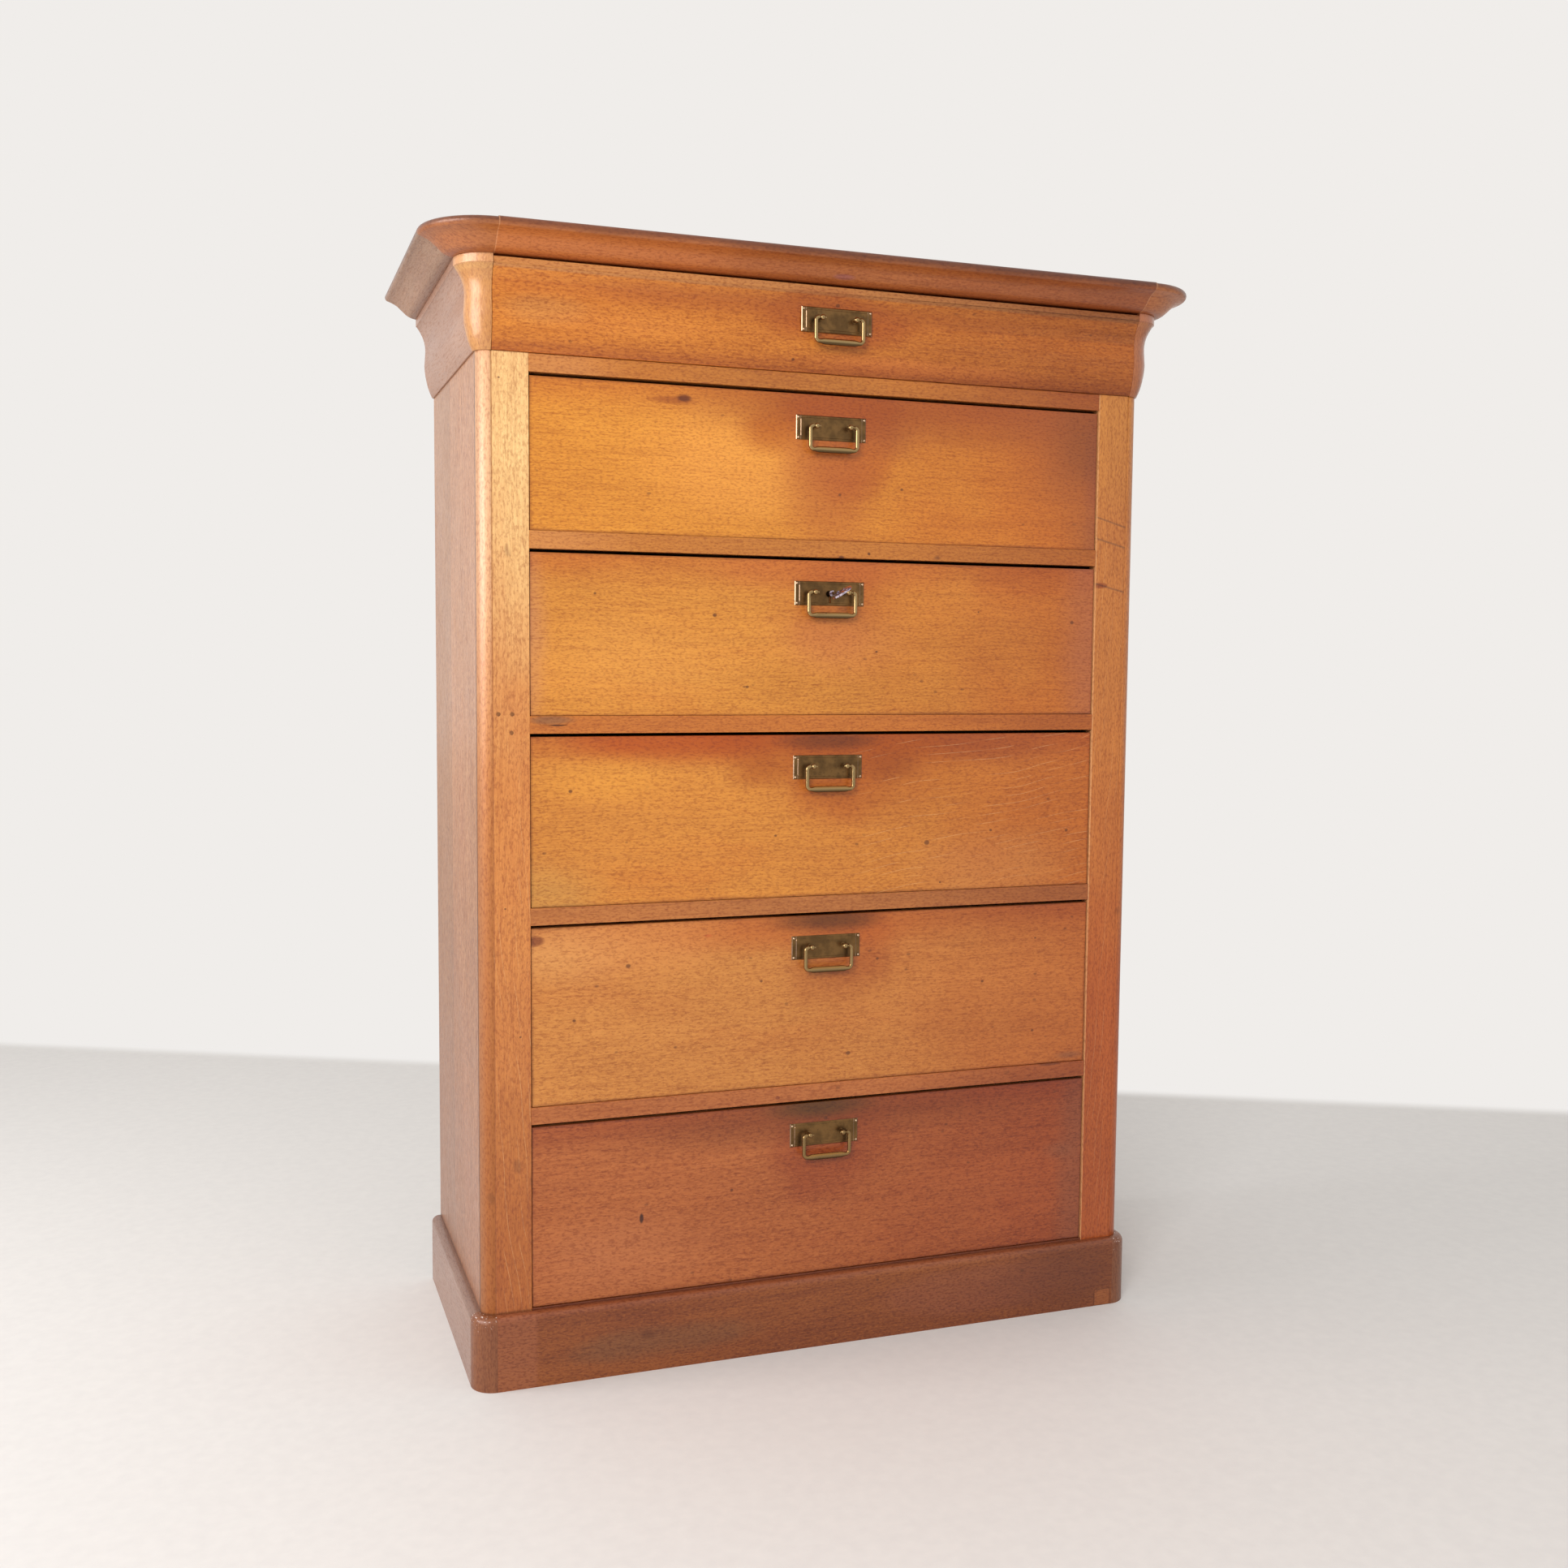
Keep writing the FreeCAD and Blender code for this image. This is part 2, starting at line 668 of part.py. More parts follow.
def grip(y, z, end_x):
    """The thicker bar of the bail: ovals that swell from the wire's round towards the middle."""
    left = [(-share, swell) for share, swell in GRIP_SWELL_SHARES]
    right = [(share, swell) for share, swell in reversed(GRIP_SWELL_SHARES)]
    ovals = []
    for share, swell in left + right:
        height = BAIL_WIRE + swell * (GRIP_HALF_HEIGHT - BAIL_WIRE)
        thick = BAIL_WIRE + swell * (GRIP_HALF_THICK - BAIL_WIRE)
        oval = Part.Ellipse(V(0, 0, height), V(0, thick, 0), V(0, 0, 0))
        wire = Part.Wire(oval.toShape())
        wire.translate(V(share * end_x, y, z))
        ovals.append(wire)
    return Part.makeLoft(ovals, True, True)


def bail(z, y):
    """The drop handle, hanging: pivots, elbows, arms, lower corners and a thicker grip."""
    arm = BAIL_SPREAD / 2
    elbow_x = arm - BAIL_ELBOW
    pivot_x = POST_SPREAD / 2 - BALL_RADIUS - PIVOT_END
    bar_z = z - BAIL_DROP
    corner_x = arm - BAIL_CORNER
    half = [rod(PIVOT_RADIUS, V(pivot_x, y, z), V(elbow_x + PIVOT_RADIUS, y, z))]
    elbow = Part.makeTorus(BAIL_ELBOW, BAIL_WIRE, V(0, 0, 0), V(0, 0, 1), -180, 180, 90)
    elbow.rotate(V(0, 0, 0), V(1, 0, 0), 90)
    elbow.translate(V(elbow_x, y, z - BAIL_ELBOW))
    corner = Part.makeTorus(BAIL_CORNER, BAIL_WIRE, V(0, 0, 0), V(0, 0, 1), -180, 180, 90)
    corner.rotate(V(0, 0, 0), V(1, 0, 0), -90)
    corner.translate(V(corner_x, y, bar_z + BAIL_CORNER))
    half.append(elbow)
    half.append(rod(BAIL_WIRE, V(arm, y, z - BAIL_ELBOW), V(arm, y, bar_z + BAIL_CORNER)))
    half.append(corner)
    bar = grip(y, bar_z, corner_x)
    return bar.fuse(half + [mirrored(s) for s in half]).removeSplitter()


# Lock and key
def bolt_middle_y():
    return FRONT_BACK_Y - LOCK_DEPTH / 2


def key_axis():
    """The key's axis crosses the plate of the drawer with the lock."""
    z, y = handle_place(LOCK_DRAWER)
    return z - KEY_BELOW_TOP, y


def lock_top():
    floor_z, height = opening(LOCK_DRAWER)
    return floor_z + height - TOP_GAP


def lock_room(grow):
    """The space that the lock case fills, or its hollow for a negative growth."""
    half = LOCK_WIDTH / 2 + grow
    back = FRONT_BACK_Y + grow
    return block(
        -half, half, back - LOCK_DEPTH - 2 * grow, back, key_axis()[0] - LOCK_BELOW_KEY - grow, lock_top()
    )


def keyhole(y0, y1, clear):
    """A round hole with a slot below it, for the stem and the bit."""
    z = key_axis()[0]
    hole = rod(KEY_STEM + clear, V(0, y0, z), V(0, y1, z))
    half = KEYHOLE_SLOT / 2
    return hole.fuse(block(-half, half, y0, y1, z - BIT_REACH - clear, z))


def lock_case():
    """A shallow box in the front's inner face: open slot above, keyhole, and a hole behind."""
    z = key_axis()[0]
    front = FRONT_BACK_Y - LOCK_DEPTH
    top = lock_top()
    hollow = lock_room(-LOCK_WALL)
    head = block(
        -LOCK_WIDTH, LOCK_WIDTH, front - OVERRUN, FRONT_BACK_Y + OVERRUN, top - LOCK_TOP_WALL, top
    )
    case = lock_room(0).cut(hollow.cut(head))
    half_x = BOLT_WIDTH / 2 + BOLT_CLEAR
    half_y = BOLT_THICK / 2 + BOLT_CLEAR
    middle = bolt_middle_y()
    slot = block(
        -half_x, half_x, middle - half_y, middle + half_y, top - LOCK_TOP_WALL - OVERRUN, top + OVERRUN
    )
    stem_hole = rod(
        KEY_STEM + KEY_CLEAR, V(0, bolt_middle_y(), z), V(0, FRONT_BACK_Y + OVERRUN, z)
    )
    entry = keyhole(front - OVERRUN, front + LOCK_WALL + BOLT_CLEAR, KEYHOLE_CLEAR)
    return case.cut(slot).cut(stem_hole).cut(entry)


def lock_bolt():
    """A flat bolt in its drawn position, with a talon that the key's bit lifts."""
    z = key_axis()[0]
    middle = bolt_middle_y()
    y0 = middle - BOLT_THICK / 2
    y1 = middle + BOLT_THICK / 2
    half = BOLT_WIDTH / 2
    head = block(-half, half, y0, y1, z + BOLT_ABOVE_KEY, lock_top() - BOLT_SINK)
    talon = block(-half, -TALON_FROM, y0, y1, z + TALON_ABOVE_KEY, z + BOLT_ABOVE_KEY)
    return head.fuse(talon).removeSplitter()


def key():
    """Stem, collar, bit and pierced oval bow. The bow and the bit lie in one plane."""
    z, y = key_axis()
    face = y - PLATE_THICK - PANEL_RAISE
    bow_y = face - KEY_REACH
    end = FRONT_BACK_Y + KEY_CLEAR
    stem = rod(KEY_STEM, V(0, bow_y - KEY_STEM, z), V(0, end, z))
    collar_y = face - KEY_COLLAR_PLACE
    collar = rod(KEY_COLLAR, V(0, collar_y - KEY_COLLAR_LENGTH, z), V(0, collar_y, z))
    middle = bolt_middle_y()
    bit = block(
        0, BIT_REACH, middle - BIT_LENGTH / 2, middle + BIT_LENGTH / 2, z - BIT_THICK / 2, z + BIT_THICK / 2
    )
    centre = V(0, bow_y - BOW_LENGTH / 2, z - BOW_THICK / 2)
    oval = Part.Ellipse(
        centre + V(BOW_WIDTH / 2, 0, 0), centre + V(0, BOW_LENGTH / 2, 0), centre
    )
    bow = Part.Face(Part.Wire(oval.toShape())).extrude(V(0, 0, BOW_THICK))
    ring = BOW_HOLE_RING_SHARE * BOW_LENGTH
    for turn in BOW_HOLE_TURNS:
        angle = math.radians(turn)
        spot = centre + V(ring * math.cos(angle), -ring * math.sin(angle), -OVERRUN)
        bow = bow.cut(Part.makeCylinder(BOW_HOLE, BOW_THICK + 2 * OVERRUN, spot))
    bow = bow.cut(block(-BOW_WIDTH, BOW_WIDTH, bow_y, FRONT_BACK_Y, z - BOW_WIDTH, z + BOW_WIDTH))
    whole = stem.fuse([collar, bit, bow]).removeSplitter()
    whole.rotate(V(0, 0, z), V(0, 1, 0), -KEY_TILT)
    return whole


# The carcase's files
save("stile_right", stile())
save("stile_left", mirrored(stile()))
save("side_right", *side_boards())
save("side_left", *[mirrored(s) for s in side_boards()])
save("bottom_board", shelf(FLOOR_Z - RAIL_THICK, INNER_Y - SEAM_Y))
for rail_number in range(1, DRAWER_COUNT):
    save("rail_%d" % rail_number, front_rail(rail_number))
save("back_boards", *back_boards())
save("base_frame", *base_frame())
save("top_frame", *top_frame())
save("top_board", block(-RIM_X, RIM_X, SEAM_Y, BACK_Y, SIDE_TOP_Z - TOP_THICK, SIDE_TOP_Z))
save("drawer_runners", *runners())
save("drawer_guides", *guides())
save("drawer_stops", *stops())

# The mouldings' files
cornice_low = CORNICE_HEIGHT - CORNICE_STEP
save("cornice_front", front_moulding(cornice_outline(STILE_THICK, CORNICE_HEIGHT), CORNICE_Z, SEAM_X))
save("cornice_sides", *side_mouldings(cornice_outline(CORNICE_SEAT, cornice_low), CORNICE_Z))
save("cornice_corners", *corner_mouldings(cornice_outline(STILE_THICK, cornice_low), CORNICE_Z))
save("frieze_sides", *side_mouldings(frieze_outline(0), FRIEZE_Z))
save("frieze_corners", *corner_mouldings(frieze_outline(STILE_THICK), FRIEZE_Z))
plinth_board, plinth_patch = plinth_front()
save("plinth_front", plinth_board)
save("plinth_patch", plinth_patch)
save("plinth_sides", *side_mouldings(plinth_outline(0), 0))
save("plinth_corners", *corner_mouldings(plinth_outline(0), 0))

# The drawers' files, from the top down, each with its handle
for drawer_number in range(1, DRAWER_COUNT + 1):
    front, box, bottom = drawer(drawer_number)
    top_z, plate_y = handle_place(drawer_number)
    inner_face = front_inner_y(drawer_number)
    post_z = top_z - POST_BELOW_TOP
    plate_solid = plate(top_z, plate_y)
    posts = [post(x, post_z, plate_y, inner_face) for x in (-POST_SPREAD / 2, POST_SPREAD / 2)]
    nuts = [nut(x, post_z, inner_face) for x in (-POST_SPREAD / 2, POST_SPREAD / 2)]
    pins = [pin(spot) for spot in pin_spots(top_z, plate_y)]
    holes = []
    for x in (-POST_SPREAD / 2, POST_SPREAD / 2):
        start = V(x, plate_y - POST_REACH, post_z)
        end = V(x, inner_face + OVERRUN, post_z)
        holes.append(rod(SHANK_RADIUS + SHANK_CLEAR, start, end))
    for spot in pin_spots(top_z, plate_y):
        reach = V(0, PIN_LENGTH + SHANK_CLEAR, 0)
        holes.append(rod(PIN_SHANK + SHANK_CLEAR, spot - V(0, OVERRUN, 0), spot + reach))
    if drawer_number == LOCK_DRAWER:
        holes.append(keyhole(plate_y - OVERRUN, inner_face, KEYHOLE_CLEAR))
        front = front.cut(lock_room(0))
        save("lock_case", lock_case())
        save("lock_bolt", lock_bolt())
        save("key", key())
    for hole in holes:
        front = front.cut(hole)
        plate_solid = plate_solid.cut(hole)
    ball_y = plate_y - PLATE_THICK - PANEL_RAISE - POST_REACH
    save("drawer_%d_front" % drawer_number, front)
    save("drawer_%d_box" % drawer_number, *box)
    save("drawer_%d_bottom" % drawer_number, bottom)
    save("drawer_%d_handle_plate" % drawer_number, plate_solid, *posts, *nuts, *pins)
    save("drawer_%d_bail" % drawer_number, bail(post_z, ball_y))
    print("drawer", drawer_number, "pivot", round(ball_y, 3), round(post_z, 3))
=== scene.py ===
# %% [markdown]
# # The looks of an oak chiffonier
# This lesson takes the plain solids of a tall chest of drawers and gives them the looks of the
# real one: oak that was stained, waxed and handled for a century, and brass handles gone olive.
# The solids come from the CAD model and stay where they are. Blender adds what a cabinetmaker's
# hands and time add: eased edges, grain, wear, stains, small nails and plugs.

import math

import bmesh
import bpy
from mathutils import Matrix, Vector


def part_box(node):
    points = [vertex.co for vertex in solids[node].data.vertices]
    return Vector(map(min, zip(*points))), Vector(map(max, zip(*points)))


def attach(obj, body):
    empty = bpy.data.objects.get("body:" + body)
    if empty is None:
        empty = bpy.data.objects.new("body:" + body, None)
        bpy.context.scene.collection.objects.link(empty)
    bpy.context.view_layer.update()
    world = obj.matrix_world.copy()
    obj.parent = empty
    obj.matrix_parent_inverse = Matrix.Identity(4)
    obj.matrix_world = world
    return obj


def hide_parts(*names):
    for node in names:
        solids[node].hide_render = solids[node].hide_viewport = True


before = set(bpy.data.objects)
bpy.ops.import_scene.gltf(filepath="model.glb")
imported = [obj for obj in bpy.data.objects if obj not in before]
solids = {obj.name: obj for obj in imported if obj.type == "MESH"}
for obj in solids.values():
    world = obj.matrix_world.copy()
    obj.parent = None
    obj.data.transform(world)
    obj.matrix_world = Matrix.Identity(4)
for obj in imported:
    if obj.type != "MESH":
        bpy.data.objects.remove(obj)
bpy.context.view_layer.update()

# %% [markdown]
# ## Eased edges
# No edge on old furniture is knife-sharp. The maker takes it off with a scraper, and hands and
# dusters do the rest, so every edge catches a thin line of light. A Bevel modifier does the same
# here. The solids arrive as loose triangles, so a Weld modifier joins their corners first.
# After the bevel, a small node group marks all faces as smooth, and a Weighted Normal modifier
# lets the large flat faces decide the shading, which keeps boards flat and mouldings round.
# The modifier holds back where a solid has small holes. The drawer fronts have those behind
# their handles, and the stiles have a fine groove, so these are copied and rounded by hand.
# One rail gets a torn spot and the back gets single boards, so those two wait as well.

# %% A node group that marks every face as smooth
smoothing = bpy.data.node_groups.new("smooth_faces", "GeometryNodeTree")
smoothing.interface.new_socket("Geometry", in_out="INPUT", socket_type="NodeSocketGeometry")
smoothing.interface.new_socket("Geometry", in_out="OUTPUT", socket_type="NodeSocketGeometry")
smooth_in = smoothing.nodes.new("NodeGroupInput")
smooth_step = smoothing.nodes.new("GeometryNodeSetShadeSmooth")
smooth_out = smoothing.nodes.new("NodeGroupOutput")
smoothing.links.new(smooth_in.outputs[0], smooth_step.inputs["Geometry"])
smoothing.links.new(smooth_step.outputs["Geometry"], smooth_out.inputs[0])
print("node group:", smoothing.name)


# %% Ease the edges of one solid
SHARP = math.radians(38)
SAME_CORNER = 1e-5


def shade_smoothly(piece):
    """Smooth faces, with the large ones deciding the shading."""
    piece.modifiers.new("smooth faces", "NODES").node_group = smoothing
    piece.modifiers.new("shading by face size", "WEIGHTED_NORMAL").weight = 60


def ease_edges(piece, width):
    """Rounds the edges of a piece by width, in metres."""
    piece.modifiers.new("joined corners", "WELD").merge_threshold = SAME_CORNER
    bevel = piece.modifiers.new("eased edges", "BEVEL")
    bevel.width = width
    bevel.segments = 2
    bevel.limit_method = "ANGLE"
    bevel.angle_limit = SHARP
    shade_smoothly(piece)


# %% How far each kind of piece is rounded
METAL_EDGE = 0.0002
EDGE_WIDTHS = {
    "side": 0.0008,
    "rail": 0.0006,
    "bottom": 0.0006,
    "plinth": 0.0012,
    "cornice": 0.0008,
    "frieze": 0.0005,
    "top": 0.0008,
    "base": 0.0008,
    "drawer": 0.0007,
    "lock": 0.0003,
    "key": 0.0003,
}
BY_HAND = ["stile_left", "stile_right", "rail_3", "back_boards"]
BY_HAND += [f"drawer_{n}_front" for n in range(1, 7)]
for name, solid in solids.items():
    if name not in BY_HAND:
        brass = "handle" in name or "bail" in name
        ease_edges(solid, METAL_EDGE if brass else EDGE_WIDTHS[name.split("_")[0]])
print("edges eased on", len(solids) - len(BY_HAND), "solids")


# %% Copy a solid and round its long edges by hand
FLAT = math.radians(0.5)


def deselect_all():
    bpy.ops.object.select_all(action="DESELECT")


def bench_copy(node, name, body, width, chosen, cutter=None):
    """A copy of a solid, its sharp edges rounded by width where chosen(middle, length) says."""
    deselect_all()
    solids[node].select_set(True)
    bpy.context.view_layer.objects.active = solids[node]
    bpy.ops.object.duplicate()
    piece = bpy.context.object
    for key in list(piece.keys()):
        del piece[key]
    piece.parent = None
    piece.name = name
    piece.data.name = name
    bpy.ops.mesh.customdata_custom_splitnormals_clear()
    bpy.ops.object.mode_set(mode="EDIT")
    bpy.ops.mesh.select_all(action="SELECT")
    bpy.ops.mesh.remove_doubles(threshold=SAME_CORNER)
    bpy.ops.mesh.dissolve_limited(angle_limit=FLAT)
    bpy.ops.mesh.select_mode(type="EDGE")
    bpy.ops.mesh.select_all(action="DESELECT")
    shape = bmesh.from_edit_mesh(piece.data)
    for edge in shape.edges:
        sharp = edge.is_manifold and edge.calc_face_angle() > SHARP
        middle = (edge.verts[0].co + edge.verts[1].co) / 2
        edge.select_set(sharp and chosen(middle, edge.calc_length()))
    bmesh.update_edit_mesh(piece.data)
    bpy.ops.mesh.bevel(offset=width, segments=3, affect="EDGES", clamp_overlap=False)
    bpy.ops.object.mode_set(mode="OBJECT")
    if cutter:
        cut = piece.modifiers.new("dent", "BOOLEAN")
        cut.object = cutter
        cut.solver = "EXACT"
    shade_smoothly(piece)
    for modifier in list(piece.modifiers):
        bpy.ops.object.modifier_apply(modifier=modifier.name)
    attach(piece, body)
    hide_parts(node)
    return piece


# %% The fronts and stiles, rounded by hand
LONG_EDGE = 0.05
FRONT_ROUNDING = 0.0007
STILE_ROUNDING = 0.0005
RAIL_ROUNDING = 0.0006
INNER_EDGE = 0.43
fronts = {}
for number in range(1, 7):
    fronts[number] = bench_copy(
        f"drawer_{number}_front",
        f"front_{number}",
        f"drawer_{number}",
        FRONT_ROUNDING,
        lambda middle, length: length > LONG_EDGE,
    )
stiles = {}
for side in ("left", "right"):
    stiles[side] = bench_copy(
        f"stile_{side}",
        f"{side}_stile",
        "carcase",
        STILE_ROUNDING,
        lambda middle, length: length > LONG_EDGE and abs(middle.x) < INNER_EDGE,
    )
print("rounded by hand:", [piece.name for piece in (*fronts.values(), *stiles.values())])

# %% [markdown]
# ## Damage and repairs
# The left end of the third rail has a torn spot, where a splinter came off. It is cut out with a
# flat wedge. Three old holes in the left stile were plugged with turned pegs, which stand a
# little proud now that the stile has shrunk. One peg is turned and the others are its copies.


# %% Small jobs at the bench
def settle(name):
    """The new primitive, named, with its place, turn and scale brought into its mesh."""
    piece = bpy.context.object
    piece.name = name
    piece.data.name = name
    bpy.ops.object.transform_apply(location=True, rotation=True, scale=True)
    return piece


def choose_corners(piece, chosen):
    """Selects, in edit mode, the corners of a piece where chosen(place) says so."""
    bpy.ops.mesh.select_all(action="DESELECT")
    shape = bmesh.from_edit_mesh(piece.data)
    for corner in shape.verts:
        corner.select_set(chosen(corner.co))
    shape.select_flush_mode()
    bmesh.update_edit_mesh(piece.data)


def turn_rings(piece, way, rings):
    """Turns rings, each (inward, outward), into the end of a piece that faces way along y."""
    bpy.ops.object.mode_set(mode="EDIT")
    bpy.ops.mesh.select_all(action="DESELECT")
    bpy.ops.mesh.select_mode(type="FACE")
    shape = bmesh.from_edit_mesh(piece.data)
    for face in shape.faces:
        face.select_set(face.normal.y * way > 0.9)
    bmesh.update_edit_mesh(piece.data)
    for inward, outward in rings:
        bpy.ops.mesh.inset(thickness=inward, depth=outward)
    bpy.ops.object.mode_set(mode="OBJECT")


def copy_moved(piece, shift):
    """A copy of a piece with its own mesh, moved by shift in its mesh."""
    deselect_all()
    piece.select_set(True)
    bpy.context.view_layer.objects.active = piece
    bpy.ops.object.duplicate()
    twin = bpy.context.object
    bpy.ops.object.mode_set(mode="EDIT")
    bpy.ops.mesh.select_all(action="SELECT")
    bpy.ops.transform.translate(value=shift)
    bpy.ops.object.mode_set(mode="OBJECT")
    return twin


def join_all(pieces):
    """Makes one piece of several."""
    deselect_all()
    for piece in pieces:
        piece.select_set(True)
    bpy.context.view_layer.objects.active = pieces[0]
    bpy.ops.object.join()
    return bpy.context.object


# %% The torn spot in the third rail
deselect_all()
DENT_PLACE = (-0.3835, -0.1697, 0.8835)
DENT_SIZE = (0.060, 0.0022, 0.0115)
DENT_FOOT, FOOT_SHARE = (-0.384, -0.1697, 0.8778), 0.55
SLANT = 0.0012
bpy.ops.mesh.primitive_cube_add(size=1, location=DENT_PLACE, scale=DENT_SIZE)
wedge = settle("wedge")
bpy.ops.object.mode_set(mode="EDIT")
choose_corners(wedge, lambda place: place.z < DENT_PLACE[2])
bpy.ops.transform.resize(value=(FOOT_SHARE, 1, 1), center_override=DENT_FOOT)
choose_corners(wedge, lambda place: place.z > DENT_PLACE[2] and place.y > DENT_PLACE[1])
bpy.ops.transform.translate(value=(0, -SLANT, 0))
bpy.ops.object.mode_set(mode="OBJECT")
torn_rail = bench_copy(
    "rail_3",
    "rail_with_tear",
    "carcase",
    RAIL_ROUNDING,
    lambda middle, length: length > LONG_EDGE,
    wedge,
)
bpy.data.objects.remove(wedge)
print("torn rail:", len(torn_rail.data.polygons), "faces")

# %% Pegs in the left stile
PEGS = ((-0.4547, 0.8925), (-0.4370, 0.8925), (-0.4380, 0.8685))
PEG_RADIUS = 0.0027
PEG_LENGTH = 0.0030
PEG_MIDDLE = -0.1690
PEG_RINGS = ((0.0006, 0.0002), (0.0008, 0.0001))
deselect_all()
bpy.ops.mesh.primitive_cylinder_add(
    vertices=20,
    radius=PEG_RADIUS,
    depth=PEG_LENGTH,
    location=(PEGS[0][0], PEG_MIDDLE, PEGS[0][1]),
    rotation=(math.radians(90), 0, 0),
)
peg = settle("left_stile_pegs")
turn_rings(peg, -1, PEG_RINGS)
bpy.ops.object.shade_smooth_by_angle(angle=SHARP)
first = Vector((PEGS[0][0], 0, PEGS[0][1]))
pegs = [peg] + [copy_moved(peg, Vector((x, 0, z)) - first) for x, z in PEGS[1:]]
pegs = join_all(pegs)
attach(pegs, "carcase")
print("pegs:", len(PEGS))

# %% [markdown]
# ## The back
# Six upright pine boards close the back. Their long edges are slightly rounded, so the joints
# show as grooves. One board is planed and copied five times. Each board is nailed to every rail
# with two nails, whose heads are slightly sunk; they too are one nail and its copies.

# %% Six back boards
back_low, back_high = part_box("back_boards")
BOARD_COUNT = 6
board_width = (back_high.x - back_low.x) / BOARD_COUNT
NAIL_ROOM = 0.0007
BOARD_GAP = 0.0004
BOARD_ROUNDING = 0.0018
deselect_all()
bpy.ops.mesh.primitive_cube_add(
    size=1,
    location=(
        back_low.x + board_width / 2,
        (back_low.y + back_high.y - NAIL_ROOM) / 2,
        (back_low.z + back_high.z) / 2,
    ),
    scale=(
        board_width - BOARD_GAP,
        back_high.y - NAIL_ROOM - back_low.y,
        back_high.z - back_low.z,
    ),
)
board = settle("back_planks")
rounding = board.modifiers.new("rounded edges", "BEVEL")
rounding.width = BOARD_ROUNDING
rounding.segments = 3
bpy.ops.object.modifier_apply(modifier=rounding.name)
bpy.ops.object.shade_smooth_by_angle(angle=SHARP)
boards = [board] + [
    copy_moved(board, (step * board_width, 0, 0)) for step in range(1, BOARD_COUNT)
]
back = join_all(boards)
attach(back, "carcase")
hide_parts("back_boards")
print("back:", BOARD_COUNT, "boards of", round(board_width * 1000), "mm")

# %% Nails through the back boards
NAIL_RADIUS = 0.0026
NAIL_HEAD = 0.0016
NAIL_DEPTH = 0.0010
NAIL_RINGS = ((0.0005, 0.0001), (0.0008, -0.0003))
NAIL_SHARES = (0.22, 0.78)
rail_heights = [sum(end.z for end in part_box(f"rail_{n}")) / 2 for n in range(1, 6)]
rail_heights.append(sum(end.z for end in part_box("bottom_board")) / 2)
nail_spots = [
    (back_low.x + board_width * (step + share), height)
    for step in range(BOARD_COUNT)
    for share in NAIL_SHARES
    for height in rail_heights
]
deselect_all()
bpy.ops.mesh.primitive_cylinder_add(
    vertices=10,
    radius=NAIL_RADIUS,
    depth=NAIL_HEAD,
    location=(nail_spots[0][0], back_high.y - NAIL_DEPTH, nail_spots[0][1]),
    rotation=(math.radians(90), 0, 0),
)
nail = settle("back_nails")
turn_rings(nail, 1, NAIL_RINGS)
first = Vector((nail_spots[0][0], 0, nail_spots[0][1]))
nails = [nail] + [copy_moved(nail, Vector((x, 0, z)) - first) for x, z in nail_spots[1:]]
nails = join_all(nails)
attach(nails, "carcase")
print("nails:", len(nail_spots))

# %% [markdown]
# ## A small kit for finishes
# A finish is a material: patterns that say where the colour is lighter, rougher or deeper. In
# Blender those patterns are nodes joined by links. This kit lets us write sums instead, such as
# `grain * 0.4 + pores`, and the Math nodes appear by themselves. `rise` turns a pattern into a
# soft-edged mask, which is how most marks on wood are made.


# %% Signals: node outputs that can be added and multiplied
class Signal:
    """What comes out of a node. A sum with it adds a Math node to the same finish."""

    def __init__(self, finish, socket):
        self.finish = finish
        self.socket = socket

    def math(self, operation, *values):
        return self.finish.node(
            "ShaderNodeMath", {"operation": operation}, dict(enumerate(values))
        )

    def __add__(self, other):
        return self.math("ADD", self, other)

    def __radd__(self, other):
        return self.math("ADD", other, self)

    def __sub__(self, other):
        return self.math("SUBTRACT", self, other)

    def __rsub__(self, other):
        return self.math("SUBTRACT", other, self)

    def __mul__(self, other):
        return self.math("MULTIPLY", self, other)

    def __truediv__(self, other):
        return self.math("DIVIDE", self, other)

    def size(self):
        """The value without its sign."""
        return self.math("ABSOLUTE", self)

    def least(self, other):
        return self.math("MINIMUM", self, other)

    def most(self, other):
        return self.math("MAXIMUM", self, other)

    def rise(self, low, high):
        """0 at low, 1 at high, with a soft climb between; high may be the smaller one."""
        return self.finish.node(
            "ShaderNodeMapRange",
            {"interpolation_type": "SMOOTHSTEP"},
            {"Value": self, "From Min": low, "From Max": high},
        )


# %% Colours as painters write them
def tone(code):
    """#RRGGBB as the light values that a shader reckons with."""
    parts = [int(code[i : i + 2], 16) / 255 for i in (1, 3, 5)]
    light = [((p + 0.055) / 1.055) ** 2.4 if p > 0.04045 else p / 12.92 for p in parts]
    return (*light, 1.0)


print("honey oak in light values:", [round(v, 3) for v in tone("#D8923F")])


